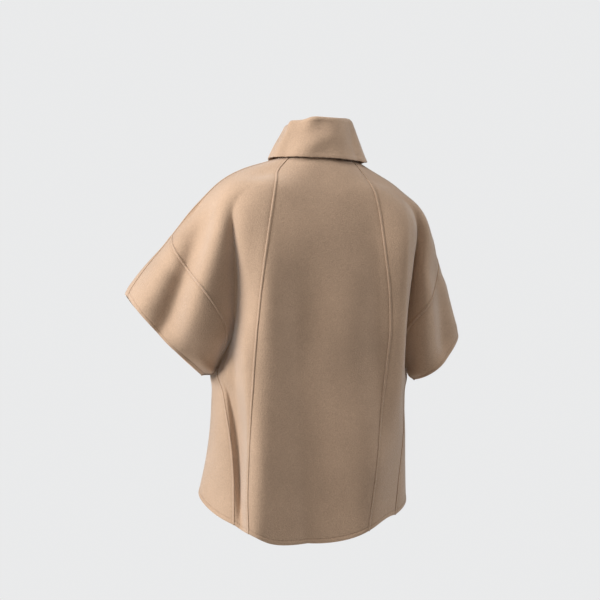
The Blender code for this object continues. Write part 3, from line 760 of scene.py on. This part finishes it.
class Rim:
    """The rounded rim of a wall, along the border of its sheet."""

    STEPS = 3  # rows of points between the outer and the inner face
    ROUNDING = 0.0012

    def __init__(
        self,
        points: np.ndarray,
        normals: np.ndarray,
        faces: list[list[int]],
        border: list[tuple[int, int]],
        thickness: float,
    ) -> None:
        """Works out how far each border point moves in, so that its rim can stand out again.

        Args:
            points: The sheet's points.
            normals: Their outward normals.
            faces: The sheet's faces.
            border: Its directed border edges.
            thickness: Thickness of the wall.
        """
        self.border, self.thickness, self.normals = border, thickness, normals
        self.corners = np.array(sorted({v for edge in border for v in edge}))
        self.row = {corner: k for k, corner in enumerate(self.corners)}
        inward = np.zeros((len(self.corners), 3))
        for start, end in border:
            side = unit(np.cross(normals[start] + normals[end], points[end] - points[start]))
            inward[self.row[start]] += side
            inward[self.row[end]] += side
        room = np.full(len(self.corners), np.inf)
        edge_set = {frozenset(edge) for edge in border}
        for face in faces:
            for start, end in zip(face, face[1:] + face[:1]):
                if frozenset((start, end)) in edge_set:
                    continue
                for corner, other in ((start, end), (end, start)):
                    if corner in self.row:
                        span = float(np.linalg.norm(points[corner] - points[other]))
                        room[self.row[corner]] = min(room[self.row[corner]], span)
        room[~np.isfinite(room)] = self.ROUNDING
        self.radius = np.minimum(self.ROUNDING, 0.35 * room)[:, None]
        self.inward = unit(inward)
        self.inset = self.inward * self.radius

    def band(self, outer: np.ndarray, inner: np.ndarray, count: int) -> tuple[np.ndarray, list[list[int]]]:
        """The points and faces of the rim.

        Args:
            outer: Points of the outer face, with its border moved in.
            inner: Points of the inner face.
            count: Number of points in each face.

        Returns:
            The extra points, row by row from the outer to the inner face, and the faces.
        """
        middle = (outer[self.corners] + inner[self.corners]) / 2
        upwards = (outer[self.corners] - inner[self.corners]) / 2
        angles = np.linspace(0.0, math.pi, self.STEPS + 2)[1:-1]
        rows = [middle + upwards * math.cos(a) - self.inset * math.sin(a) for a in angles]
        size = len(self.corners)
        faces = []
        for start, end in self.border:
            a, b = self.row[start], self.row[end]
            near = [start] + [2 * count + k * size + a for k in range(self.STEPS)] + [start + count]
            far = [end] + [2 * count + k * size + b for k in range(self.STEPS)] + [end + count]
            faces += [[far[k], near[k], near[k + 1], far[k + 1]] for k in range(self.STEPS + 1)]
        return np.vstack(rows), faces


def make_piece(name: str, points: np.ndarray, faces: list[list[int]], shade: np.ndarray) -> bpy.types.Object:
    """A smooth mesh object that rides on the cape's body.

    Args:
        name: Name of the piece.
        points: Its points.
        faces: Its faces.
        shade: Painted shade at each point, kept as the attribute that the wool reads.

    Returns:
        The piece, linked to the scene.
    """
    mesh = bpy.data.meshes.new(name)
    mesh.from_pydata(points.tolist(), [], faces)
    mesh.validate()
    mesh.shade_smooth()
    layer = mesh.attributes.new(WoolFinish.SHADE, "FLOAT", "POINT")
    layer.data.foreach_set("value", shade.astype(np.float32))
    piece = bpy.data.objects.new(name, mesh)
    bpy.context.scene.collection.objects.link(piece)
    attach(piece, BODY)
    LOG.info("%s: %d points, %d faces", name, len(points), len(faces))
    return piece


@dataclass(frozen=True)
class WoolFinish:
    """Felted double-faced camel wool: matt, with a short nap, a faint mottle, a soft bloom at grazing light, and
    painted shade where the points' shade attribute asks for it.
    """

    # Name of the point attribute that carries painted shade: stitch grooves, the feet of seam ridges and the cloth
    # beside seams drawn darker.
    SHADE = "painted_shade"

    name: str = "camel_wool_felt"
    colour: tuple[float, float, float] = (0.425, 0.290, 0.197)
    # The dark brown that painted shade mixes the wool colour towards.
    shade_paint_colour: tuple[float, float, float] = (0.20, 0.115, 0.065)
    mottle: float = 0.10
    speckle: float = 0.16
    roughness: float = 0.95
    sheen: float = 0.70
    sheen_roughness: float = 0.45
    sheen_tint: tuple[float, float, float] = (1.0, 0.95, 0.90)
    grain_scale: float = 430.0
    nap_scale: float = 1500.0
    grain_height: float = 0.0009
    nap_height: float = 0.00022

    def make(self) -> bpy.types.Material:
        """Builds the material."""
        material = bpy.data.materials.new(self.name)
        material.use_nodes = True
        tree = material.node_tree
        shader = tree.nodes["Principled BSDF"]
        shader.inputs["Roughness"].default_value = self.roughness
        shader.inputs["Specular IOR Level"].default_value = 0.15
        shader.inputs["Sheen Weight"].default_value = self.sheen
        shader.inputs["Sheen Roughness"].default_value = self.sheen_roughness
        shader.inputs["Sheen Tint"].default_value = (*self.sheen_tint, 1.0)
        place = tree.nodes.new("ShaderNodeTexCoord").outputs["Object"]
        cloud = self.noise(tree, place, scale=9.0, detail=4.0, roughness=0.55)
        grain = self.noise(tree, place, scale=self.grain_scale, detail=3.0, roughness=0.62)
        nap = self.noise(tree, place, scale=self.nap_scale, detail=2.0, roughness=0.6)
        light = self.toned(tree, cloud, self.mottle)
        fleck = self.toned(tree, grain, self.speckle)
        both = tree.nodes.new("ShaderNodeMath")
        both.operation = "MULTIPLY"
        tree.links.new(light, both.inputs[0])
        tree.links.new(fleck, both.inputs[1])
        tint = tree.nodes.new("ShaderNodeVectorMath")
        tint.operation = "SCALE"
        tint.inputs[0].default_value = self.colour
        tree.links.new(both.outputs[0], tint.inputs["Scale"])
        # Painted shade: the attribute mixes the mottled wool colour towards the dark brown.
        painted_shade = tree.nodes.new("ShaderNodeAttribute")
        painted_shade.attribute_name = self.SHADE
        mix = tree.nodes.new("ShaderNodeMix")
        mix.data_type = "RGBA"
        mix.inputs["B"].default_value = (*self.shade_paint_colour, 1.0)
        tree.links.new(painted_shade.outputs["Fac"], mix.inputs["Factor"])
        tree.links.new(tint.outputs[0], mix.inputs["A"])
        tree.links.new(mix.outputs["Result"], shader.inputs["Base Color"])
        coarse = self.raised(tree, grain, self.grain_height, None)
        fine = self.raised(tree, nap, self.nap_height, coarse)
        tree.links.new(fine, shader.inputs["Normal"])
        return material

    @staticmethod
    def noise(
        tree: bpy.types.NodeTree, place: bpy.types.NodeSocket, scale: float, detail: float, roughness: float
    ) -> bpy.types.NodeSocket:
        """A noise over the cloth, about 0.5 on average."""
        node = tree.nodes.new("ShaderNodeTexNoise")
        node.inputs["Scale"].default_value = scale
        node.inputs["Detail"].default_value = detail
        node.inputs["Roughness"].default_value = roughness
        tree.links.new(place, node.inputs["Vector"])
        return node.outputs["Fac"]

    @staticmethod
    def toned(tree: bpy.types.NodeTree, value: bpy.types.NodeSocket, strength: float) -> bpy.types.NodeSocket:
        """The noise as a factor about 1, from 1 - strength to 1 + strength."""
        node = tree.nodes.new("ShaderNodeMapRange")
        node.inputs["From Min"].default_value = 0.25
        node.inputs["From Max"].default_value = 0.75
        node.inputs["To Min"].default_value = 1.0 - strength
        node.inputs["To Max"].default_value = 1.0 + strength
        tree.links.new(value, node.inputs["Value"])
        return node.outputs["Result"]

    @staticmethod
    def raised(
        tree: bpy.types.NodeTree,
        value: bpy.types.NodeSocket,
        height: float,
        under: bpy.types.NodeSocket | None,
    ) -> bpy.types.NodeSocket:
        """A bump of this height in metres, on top of another."""
        node = tree.nodes.new("ShaderNodeBump")
        node.inputs["Distance"].default_value = height
        tree.links.new(value, node.inputs["Height"])
        if under is not None:
            tree.links.new(under, node.inputs["Normal"])
        return node.outputs["Normal"]


@dataclass
class Welt:
    """A sewn seam as it shows: a narrow lapped ridge, soft on one side and steep on the other."""

    form: CapeForm
    name: str
    half: Half
    side: Side
    ring: np.ndarray
    column: np.ndarray
    lap: float = 1.0  # which side is the steep one
    spacing: float = 0.0030
    uneven: float = 0.10
    uneven_every: int = 8
    section: np.ndarray = field(
        default_factory=lambda: MM
        * np.array(
            [(-2.6, -0.8), (-2.4, 0.1), (-1.8, 0.65), (-0.8, 0.98), (0.4, 1.0), (1.3, 0.8), (1.9, 0.35), (2.1, -0.8)]
        )
    )
    # Painted shade at the ridge's feet, one value for each corner of the section, darkest at the foot of the steep
    # side.
    shade: tuple[float, ...] = (0.12, 0.06, 0.0, 0.0, 0.0, 0.0, 0.15, 0.40)

    def __post_init__(self) -> None:
        """Lays the line of the seam on the form, so that the panels know of it."""
        points, normals = self.form.place(self.half, self.side, self.ring, self.column)
        run = run_length(points)
        even = np.linspace(0.0, run[-1], max(4, int(run[-1] / self.spacing)))
        self.points = np.column_stack([np.interp(even, run, values) for values in points.T])
        self.normals = unit(np.column_stack([np.interp(even, run, values) for values in normals.T]))
        self.form.remember_seam(self.points)

    def build(self) -> bpy.types.Object:
        """Sweeps the ridge's section along the seam, a little fuller here and there."""
        along = unit(np.gradient(self.points, axis=0))
        across = unit(np.cross(self.normals, along)) * self.lap
        rows, corners = len(self.points), len(self.section)
        knots = np.arange(0, rows + self.uneven_every, self.uneven_every)
        swell = np.random.default_rng(rows).normal(1.0, self.uneven, size=len(knots))
        height = np.interp(np.arange(rows), knots, swell)[:, None, None]
        aside = across[:, None, :] * self.section[None, :, :1]
        up = self.normals[:, None, :] * self.section[None, :, 1:] * height
        grid = self.points[:, None, :] + aside + up
        index = np.arange(rows * corners).reshape(rows, corners)
        beside = np.roll(index, -1, axis=1)
        quads = np.stack([index[:-1], beside[:-1], beside[1:], index[1:]], axis=-1).reshape(-1, 4).tolist()
        faces = quads + [index[0][::-1].tolist(), index[-1].tolist()]
        if self.lap < 0:
            faces = [face[::-1] for face in faces]
        return make_piece(self.name, grid.reshape(-1, 3), faces, np.tile(self.shade, rows))


@dataclass
class Panel:
    """A panel of the cape: how finely it is drawn, and what its cut measures."""

    form: CapeForm
    edge: TurnedEdge
    area: float
    upper_rows: int = 110
    lower_rows: int = 56
    wide_columns: int = 34
    flap_columns: int = 40

    def rings(self, half: Half, side: Side, columns: np.ndarray) -> np.ndarray:
        """Rows of rings from the neck seam to the turned hem.

        Args:
            half: Back or front.
            side: The wearer's left or right.
            columns: Where each line of points reaches the hem.

        Returns:
            Ring numbers, rows by columns. The underarm's ring is one of the rows.
        """
        quarter = self.form.quarters[half, side]
        step = 0.25
        end, before = quarter.surface(HEM, columns), quarter.surface(HEM - step, columns)
        rate = np.linalg.norm(end - before, axis=-1) / step
        upper = np.linspace(0.0, UNDERARM, self.upper_rows + 1)[:, None] + 0.0 * rate
        return np.vstack([upper[:-1], self.edge.stations(UNDERARM, HEM, rate, self.lower_rows)])

    def body_patch(
        self, cloth: Cloth, half: Half, side: Side, first: np.ndarray, last: np.ndarray, count: int, lift: Sequence[float]
    ) -> None:
        """Adds the cloth between two lines that run from the neck seam to the hem.

        Args:
            cloth: The sheet that it becomes a part of.
            half: Back or front.
            side: The wearer's left or right.
            first: Function of the rings that gives the inner line's columns.
            last: The same for the outer line.
            count: Number of steps between the lines.
            lift: How far the inner and the outer line are moved out.
        """
        share = np.linspace(0.0, 1.0, count + 1)
        hem = np.array([float(HEM)])
        at_hem = first(hem) * (1 - share) + last(hem) * share
        ring = self.rings(half, side, at_hem)
        column = first(ring[:, 0])[:, None] * (1 - share) + last(ring[:, -1])[:, None] * share
        rim = self.form.quarters[half, side].surface(ring[-1], column[-1])
        height, shade = self.edge.relief(len(ring), run_length(rim))
        rise = lift[0] + (lift[1] - lift[0]) * smooth(share)
        cloth.patch(half, side, ring, column, height + rise[None, :], shade)

    def flap_patch(self, cloth: Cloth, half: Half, side: Side) -> None:
        """Adds the cloth from the hollow out to the shoulder seam and the armhole seam."""
        ring = np.linspace(0.0, UNDERARM, self.upper_rows + 1)
        share = np.linspace(0.0, 1.0, self.flap_columns + 1)[None, :]
        column = 1.0 + (self.form.armhole_column(side, ring)[:, None] - 1.0) * share
        ring = ring[:, None] + 0.0 * column
        cloth.patch(half, side, ring, np.maximum(column, SLEEVE_SIDE), 0.0 * ring, 0.0 * ring)

    def declare(self, piece: bpy.types.Object, node: str, welts: Sequence[bpy.types.Object]) -> bpy.types.Object:
        """Lets the piece stand for its solid by hiding the solid; the width worked out from its area is not used.

        Args:
            piece: The finished panel.
            node: Name of the solid.
            welts: Seam ridges that are sewn on this panel; not used.

        Returns:
            The same piece.
        """
        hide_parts(node)
        low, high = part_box(node)
        length = high[2] - low[2]
        width = max(self.area / length, high[0] - low[0])
        while self.area < 0.31 * width * length:
            width *= 0.9
        return piece


@dataclass
class BackCentre(Panel):
    """The middle of the back, between the two long seams."""

    node: str = "back_center"

    def build(self, welts: Sequence[bpy.types.Object]) -> bpy.types.Object:
        """Cuts the panel out of the form."""
        cloth = Cloth(self.form)
        for side in Side:
            self.body_patch(
                cloth, Half.BACK, side, lambda ring: 0.0 * ring,
                lambda ring, side=side: self.form.princess_column(side, ring), self.wide_columns, (0.0, 0.0),
            )
        return self.declare(cloth.shell(f"{self.node}_panel", self.form.pattern.wall), self.node, welts)


@dataclass
class BackSide(Panel):
    """The back from a long seam to the arm and the side seam."""

    side: Side = Side.LEFT

    def build(self, welts: Sequence[bpy.types.Object]) -> bpy.types.Object:
        """Cuts the panel out of the form."""
        node = f"back_side_{self.side.value}"
        cloth = Cloth(self.form)
        self.body_patch(
            cloth, Half.BACK, self.side, lambda ring: self.form.princess_column(self.side, ring),
            np.ones_like, self.wide_columns, (0.0, 0.0),
        )
        self.flap_patch(cloth, Half.BACK, self.side)
        return self.declare(cloth.shell(f"{node}_panel", self.form.pattern.wall), node, welts)


@dataclass
class Front(Panel):
    """One front. Each passes the middle, and the right one lies over the left."""

    side: Side = Side.LEFT
    lap_columns: int = 10

    def build(self, welts: Sequence[bpy.types.Object]) -> bpy.types.Object:
        """Cuts the panel out of the form, with the right front's step up over the left one."""
        node = f"front_{self.side.value}"
        cloth = Cloth(self.form)
        pattern, form, side = self.form.pattern, self.form, self.side

        def inner(ring: np.ndarray) -> np.ndarray:
            return 0.0 * ring

        def beyond(ring: np.ndarray) -> np.ndarray:
            return form.column_at(Half.FRONT, side.other, ring, pattern.front_lap)

        def step_top(ring: np.ndarray) -> np.ndarray:
            return form.column_at(Half.FRONT, side, ring, pattern.front_lap + pattern.lap_clear)

        def step_foot(ring: np.ndarray) -> np.ndarray:
            far = pattern.front_lap + pattern.lap_clear + pattern.lap_ramp
            return form.column_at(Half.FRONT, side, ring, far)

        rise = pattern.lap_rise if side is Side.RIGHT else 0.0
        if side is Side.RIGHT:
            self.body_patch(cloth, Half.FRONT, side, inner, step_top, self.lap_columns, (rise, rise))
            self.body_patch(cloth, Half.FRONT, side, step_top, step_foot, self.lap_columns, (rise, 0.0))
            inner_side = step_foot
        else:
            inner_side = inner
        self.body_patch(cloth, Half.FRONT, side, inner_side, np.ones_like, 2 * self.wide_columns, (0.0, 0.0))
        self.flap_patch(cloth, Half.FRONT, side)
        self.body_patch(cloth, Half.FRONT, side.other, inner, beyond, self.lap_columns, (rise, rise))
        return self.declare(cloth.shell(f"{node}_panel", pattern.wall), node, welts)


@dataclass
class SleeveHalf(Panel):
    """Half of a short sleeve, from the armhole seam to the turned cuff."""

    half: Half = Half.BACK
    side: Side = Side.LEFT
    long_rows: int = 64
    cuff_columns: int = 34

    def build(self, welts: Sequence[bpy.types.Object]) -> bpy.types.Object:
        """Cuts the piece out of the form."""
        node = f"sleeve_{self.half.value}_{self.side.value}"
        cloth = Cloth(self.form)
        quarter = self.form.quarters[self.half, self.side]
        seam_ring = np.linspace(self.form.pattern.armhole_start[self.side], UNDERARM, self.long_rows + 1)
        seam_column = self.form.armhole_column(self.side, seam_ring)
        cuff_column = np.maximum(2.0 - np.linspace(0.0, 1.0, len(seam_ring)), SLEEVE_SIDE)
        step = 0.03
        end = quarter.surface(np.full_like(seam_ring, CUFF), cuff_column)
        before_ring = CUFF - step * (CUFF - seam_ring)
        before_column = np.maximum(cuff_column - step * (cuff_column - seam_column), SLEEVE_SIDE)
        rate = np.linalg.norm(end - quarter.surface(before_ring, before_column), axis=-1) / step
        share = self.edge.stations(0.0, 1.0, rate, self.cuff_columns).T
        ring = seam_ring[:, None] + (CUFF - seam_ring)[:, None] * share
        column = seam_column[:, None] + (cuff_column - seam_column)[:, None] * share
        height, shade = self.edge.relief(share.shape[1], run_length(end))
        cloth.patch(self.half, self.side, ring, np.maximum(column, SLEEVE_SIDE), height.T, shade.T)
        return self.declare(cloth.shell(f"{node}_panel", self.form.pattern.wall), node, welts)


@dataclass
class Collar:
    """The stand, the roll and the fall of the tall collar, in one piece of cloth."""

    form: CapeForm
    edge: TurnedEdge
    area: float
    gap: float = 0.006
    seat: float = -0.0008
    stations: int = 260
    rows: int = 84
    profile: np.ndarray = field(
        default_factory=lambda: rail(  # out, how much of the fall's own spread is added, up
            x=(-0.0035, -0.007, -0.0115, -0.015, -0.0165, -0.015, -0.0105, -0.006, -0.003, 0.000, 0.003, 0.006),
            y=(0.0, 0.0, 0.0, 0.0, 0.0, 0.0, 0.05, 0.12, 0.28, 0.52, 0.78, 1.0),
            z=(0.000, 0.022, 0.045, 0.062, 0.072, 0.0775, 0.079, 0.0745, 0.060, 0.040, 0.020, 0.003),
        )
    )
    spread: dict[str, float] = field(
        default_factory=lambda: {"left": 0.008, "right": 0.022, "back": -0.004, "front": 0.004}
    )
    drop: dict[str, float] = field(default_factory=lambda: {"left": -0.001, "right": -0.008, "back": -0.003})
    # The roll is lower round the front, and the left of the collar leans in to the neck.
    dip: dict[str, float] = field(default_factory=lambda: {"left": 0.17, "right": 0.02, "front": 0.20})
    lean: dict[str, float] = field(default_factory=lambda: {"left": -0.010, "right": 0.002})
    crimp: float = 0.00025
    folds: tuple[Fold, ...] = (
        Fold(Half.BACK, (-0.020, 0.080), (0.070, 0.022), 0.016, 0.018, -0.0035),
        Fold(Half.BACK, (-0.045, 0.054), (0.050, 0.008), 0.014, 0.014, 0.0025),
        Fold(Half.BACK, (-0.080, 0.070), (-0.050, 0.012), 0.012, 0.012, -0.0025),
    )

    def neck_line(self) -> np.ndarray:
        """The neck seam from the middle of the front, round the left, the back and the right."""
        column = np.linspace(0.0, 2.0, 241)
        around = (
            (Half.FRONT, Side.LEFT, 1), (Half.BACK, Side.LEFT, -1), (Half.BACK, Side.RIGHT, 1), (Half.FRONT, Side.RIGHT, -1),
        )
        parts = [self.form.quarters[half, side].base(0.0, column)[::turn] for half, side, turn in around]
        line = np.vstack([parts[0]] + [part[1:] for part in parts[1:]])
        for _ in range(30):
            line[1:-1] = (line[:-2] + 2 * line[1:-1] + line[2:]) / 4
        run = run_length(line)
        even = np.linspace(self.gap / 2, run[-1] - self.gap / 2, self.stations + 1)
        return np.column_stack([np.interp(even, run, values) for values in line.T])

    def build(self) -> bpy.types.Object:
        """Bends the collar's profile round the neck seam."""
        line = self.neck_line()
        along = unit(np.gradient(line, axis=0) * [1, 1, 0])
        for _ in range(8):
            along[1:-1] = (along[:-2] + 2 * along[1:-1] + along[2:]) / 4
        along = unit(along)
        out = np.column_stack([along[:, 1], -along[:, 0], 0 * along[:, 0]])
        facing = {
            "left": np.clip(out[:, 0], 0, 1) ** 1.5,
            "right": np.clip(-out[:, 0], 0, 1) ** 1.5,
            "back": np.clip(out[:, 1], 0, 1) ** 1.5,
            "front": np.clip(-out[:, 1], 0, 1) ** 1.5,
        }
        spread, drop, dip, lean = (
            sum(amount[name] * facing[name] for name in amount) for amount in (self.spread, self.drop, self.dip, self.lean)
        )
        profile = resampled(self.profile, 3 * self.rows, rounds=12)
        run = run_length(profile * [1, 0, 1])
        share = self.edge.stations(0.0, 1.0, run[-1:], self.rows)[:, 0]
        forward, fall, up = (np.interp(share * run[-1], run, values)[:, None] for values in profile.T)
        top = profile[:, 2].max()
        reach = forward + fall * spread + lean * smooth(up / top)
        points = line[None, :, :] + reach[..., None] * out[None, :, :]
        wave = np.sin(run_length(line) * 410.0) + np.sin(run_length(line) * 655.0 + 1.0)
        points[..., 2] += self.seat + up * (1.0 - dip * smooth(up / top)) + fall * (drop + self.crimp * wave * fall**3)
        normals = self.facing_out(points)
        soft = sum(fold.lift(points) for fold in self.folds) * facing["back"] * smooth(fall / 0.2)
        points = points + normals * (soft + self.form.ripples.lift(points * 1.3))[..., None]
        normals = self.facing_out(points)
        height, shade = self.edge.relief(len(share), run_length(points[-1]))
        cloth = Cloth(self.form)
        cloth.grid(points + normals * height[..., None], normals, shade, flip=False)
        piece = cloth.shell("collar_panel", self.form.pattern.wall, outside=self.form.pattern.wall / 2)
        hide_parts("collar")
        return piece


    @staticmethod
    def facing_out(points: np.ndarray) -> np.ndarray:
        """The normals of a grid of points."""
        return unit(np.cross(np.gradient(points, axis=0), np.gradient(points, axis=1)))


@dataclass(frozen=True)
class StudioLight:
    """One soft lamp, placed round the cape by compass angle."""

    name: str
    azimuth: float  # degrees, 0 is in front of the wearer and 90 on the wearer's left
    elevation: float
    distance: float
    size: float
    power: float
    colour: tuple[float, float, float] = (1.0, 1.0, 1.0)

    def make(self, target: Vector) -> bpy.types.Object:
        """Hangs the lamp and turns it to the target."""
        lamp = bpy.data.lights.new(self.name, "AREA")
        lamp.shape = "DISK"
        lamp.size = self.size
        lamp.energy = self.power
        lamp.color = self.colour
        holder = bpy.data.objects.new(self.name, lamp)
        turn, tilt = math.radians(self.azimuth), math.radians(self.elevation)
        away = Vector((math.sin(turn) * math.cos(tilt), -math.cos(turn) * math.cos(tilt), math.sin(tilt)))
        holder.location = target + away * self.distance
        holder.rotation_mode = "QUATERNION"
        holder.rotation_quaternion = away.to_track_quat("Z", "Y")
        bpy.context.scene.collection.objects.link(holder)
        return holder


@dataclass
class Studio:
    """A plain pale floor, an even pale surround, soft lamps and the camera."""

    floor_level: float = -1.60
    floor_radius: float = 4.4
    floor_fade: float = 2.2
    surround: tuple[float, float, float] = (0.82, 0.825, 0.83)
    ambient: float = 0.06
    lights: tuple[StudioLight, ...] = (
        StudioLight("key_left", azimuth=96.0, elevation=23.0, distance=3.0, size=1.4, power=130.0),
        StudioLight("side_right", azimuth=252.0, elevation=24.0, distance=3.0, size=1.3, power=38.0),
        StudioLight("top_soft", azimuth=150.0, elevation=66.0, distance=3.0, size=2.0, power=52.0),
    )
    camera_azimuth: float = 165.0
    camera_distance: float = 4.3
    camera_level: float = -0.27
    camera_aside: float = 0.027  # moves the view, so that the neck stands where it does in the picture
    frame_width: float = 1.152  # metres across the picture at the origin

    def build(self) -> None:
        """Sets up the floor, the surround, the lamps and the camera."""
        self.make_floor()
        self.make_surround()
        target = Vector((0.0, 0.0, self.camera_level))
        for light in self.lights:
            light.make(target)
        self.make_camera()

    def make_floor(self) -> None:
        """A pale disc that fades out at its edge."""
        mesh = bpy.data.meshes.new("studio_floor")
        sides = 96
        angles = [2.0 * math.pi * k / sides for k in range(sides)]
        ring = [(self.floor_radius * math.cos(a), self.floor_radius * math.sin(a), 0.0) for a in angles]
        mesh.from_pydata(ring, [], [list(range(sides))])
        floor = bpy.data.objects.new("studio_floor", mesh)
        floor.location = (0.0, 0.0, self.floor_level)
        bpy.context.scene.collection.objects.link(floor)
        material = bpy.data.materials.new("studio_floor_paint")
        material.use_nodes = True
        tree = material.node_tree
        shader = tree.nodes["Principled BSDF"]
        shader.inputs["Base Color"].default_value = (0.80, 0.80, 0.80, 1.0)
        shader.inputs["Roughness"].default_value = 0.9
        place = tree.nodes.new("ShaderNodeTexCoord").outputs["Object"]
        length = tree.nodes.new("ShaderNodeVectorMath")
        length.operation = "LENGTH"
        fade = tree.nodes.new("ShaderNodeMapRange")
        fade.interpolation_type = "SMOOTHSTEP"
        fade.inputs["From Min"].default_value = self.floor_fade
        fade.inputs["From Max"].default_value = self.floor_radius
        fade.inputs["To Min"].default_value = 1.0
        fade.inputs["To Max"].default_value = 0.0
        tree.links.new(place, length.inputs[0])
        tree.links.new(length.outputs["Value"], fade.inputs["Value"])
        tree.links.new(fade.outputs["Result"], shader.inputs["Alpha"])
        floor.data.materials.append(material)

    def make_surround(self) -> None:
        """A pale surround that is bright to look at and dimmer as a light."""
        world = bpy.data.worlds.new("studio_surround")
        world.use_nodes = True
        bpy.context.scene.world = world
        tree = world.node_tree
        seen = tree.nodes["Background"]
        seen.inputs["Color"].default_value = (*self.surround, 1.0)
        lighting = tree.nodes.new("ShaderNodeBackground")
        lighting.inputs["Color"].default_value = (1.0, 0.93, 0.86, 1.0)
        lighting.inputs["Strength"].default_value = self.ambient
        path = tree.nodes.new("ShaderNodeLightPath")
        mix = tree.nodes.new("ShaderNodeMixShader")
        tree.links.new(path.outputs["Is Camera Ray"], mix.inputs["Fac"])
        tree.links.new(lighting.outputs["Background"], mix.inputs[1])
        tree.links.new(seen.outputs["Background"], mix.inputs[2])
        tree.links.new(mix.outputs["Shader"], tree.nodes["World Output"].inputs["Surface"])

    def make_camera(self) -> None:
        """The camera, behind the wearer and a little to the left, level with the chest."""
        lens = bpy.data.cameras.new("view_camera")
        lens.sensor_width = 36.0
        lens.lens = lens.sensor_width * self.camera_distance / self.frame_width
        camera = bpy.data.objects.new("view_camera", lens)
        turn = math.radians(self.camera_azimuth)
        back = Vector((math.sin(turn), -math.cos(turn), 0.0))
        right = Vector((-back.y, back.x, 0.0))
        camera.location = back * self.camera_distance - right * self.camera_aside
        camera.location.z = self.camera_level
        camera.rotation_mode = "QUATERNION"
        camera.rotation_quaternion = back.to_track_quat("Z", "Y")
        bpy.context.scene.collection.objects.link(camera)
        bpy.context.scene.camera = camera
        bpy.context.scene.view_settings.view_transform = "Standard"


@dataclass
class WoolCape:
    """The whole garment, built in the order in which it is sewn."""

    form: CapeForm = field(default_factory=lambda: CapeForm(Pattern(), Ripples()))
    edge: TurnedEdge = field(default_factory=TurnedEdge)
    finish: WoolFinish = field(default_factory=WoolFinish)
    fine_rings: int = 400

    def seams(self, side: Side) -> dict[str, Welt]:
        """The seam ridges of one side, by name."""
        form, pattern, name = self.form, self.form.pattern, side.value
        down = np.linspace(0.0, HEM, self.fine_rings)
        low = np.linspace(UNDERARM, HEM, self.fine_rings)
        sleeve = np.linspace(UNDERARM, CUFF, 60)
        top = np.linspace(0.0, CUFF, self.fine_rings)
        armhole = np.linspace(pattern.armhole_start[side], UNDERARM, 160)
        lap = side.sign
        made = {
            "princess": Welt(form, f"seam_princess_{name}", Half.BACK, side, down, form.princess_column(side, down), lap),
            "side": Welt(form, f"seam_side_{name}", Half.BACK, side, low, np.ones_like(low), lap),
            "under": Welt(form, f"seam_under_{name}", Half.BACK, side, sleeve, np.full(60, SLEEVE_SIDE), lap),
            "top": Welt(form, f"seam_top_{name}", Half.BACK, side, top, np.full_like(top, 2.0), lap),
        }
        for half in Half:
            column = np.maximum(form.armhole_column(side, armhole), SLEEVE_SIDE)
            made[f"armhole_{half.value}"] = Welt(
                form, f"seam_armhole_{half.value}_{name}", half, side, armhole, column, lap * half.facing
            )
        return made

    def build(self) -> list[bpy.types.Object]:
        """Makes every piece and gives it its finish.

        Returns:
            All the pieces.
        """
        welts = {side: self.seams(side) for side in Side}
        ridges = {side: {name: welt.build() for name, welt in welts[side].items()} for side in Side}
        left, right = ridges[Side.LEFT], ridges[Side.RIGHT]
        pieces = [piece for side in Side for piece in ridges[side].values()]
        pieces.append(BackCentre(self.form, self.edge, 0.177).build([left["princess"], right["princess"]]))
        for side, back, front, arm_back, arm_front in (
            (Side.LEFT, 0.091, 0.177, 0.035, 0.027),
            (Side.RIGHT, 0.100, 0.190, 0.024, 0.023),
        ):
            own = ridges[side]
            pieces.append(BackSide(self.form, self.edge, back, side=side).build([own["side"], own["top"]]))
            pieces.append(Front(self.form, self.edge, front, side=side).build([]))
            pieces.append(
                SleeveHalf(self.form, self.edge, arm_back, half=Half.BACK, side=side).build([own["armhole_back"], own["under"]])
            )
            pieces.append(
                SleeveHalf(self.form, self.edge, arm_front, half=Half.FRONT, side=side).build([own["armhole_front"]])
            )
        # The collar's edge has no stitch groove and no painted shade.
        pieces.append(Collar(self.form, replace(self.edge, groove=0.0, tint=0.0), 0.063).build())
        material = self.finish.make()
        for piece in pieces:
            piece.data.materials.append(material)
        return pieces


def main() -> None:
    """Dresses the cape and sets up the studio."""
    logging.basicConfig(level=logging.INFO, format="%(name)s: %(message)s")
    pieces = WoolCape().build()
    for piece in pieces:
        LOG.info("%s: %d faces", piece.name, len(piece.data.polygons))
    Studio().build()


if __name__ == "__main__":
    main()
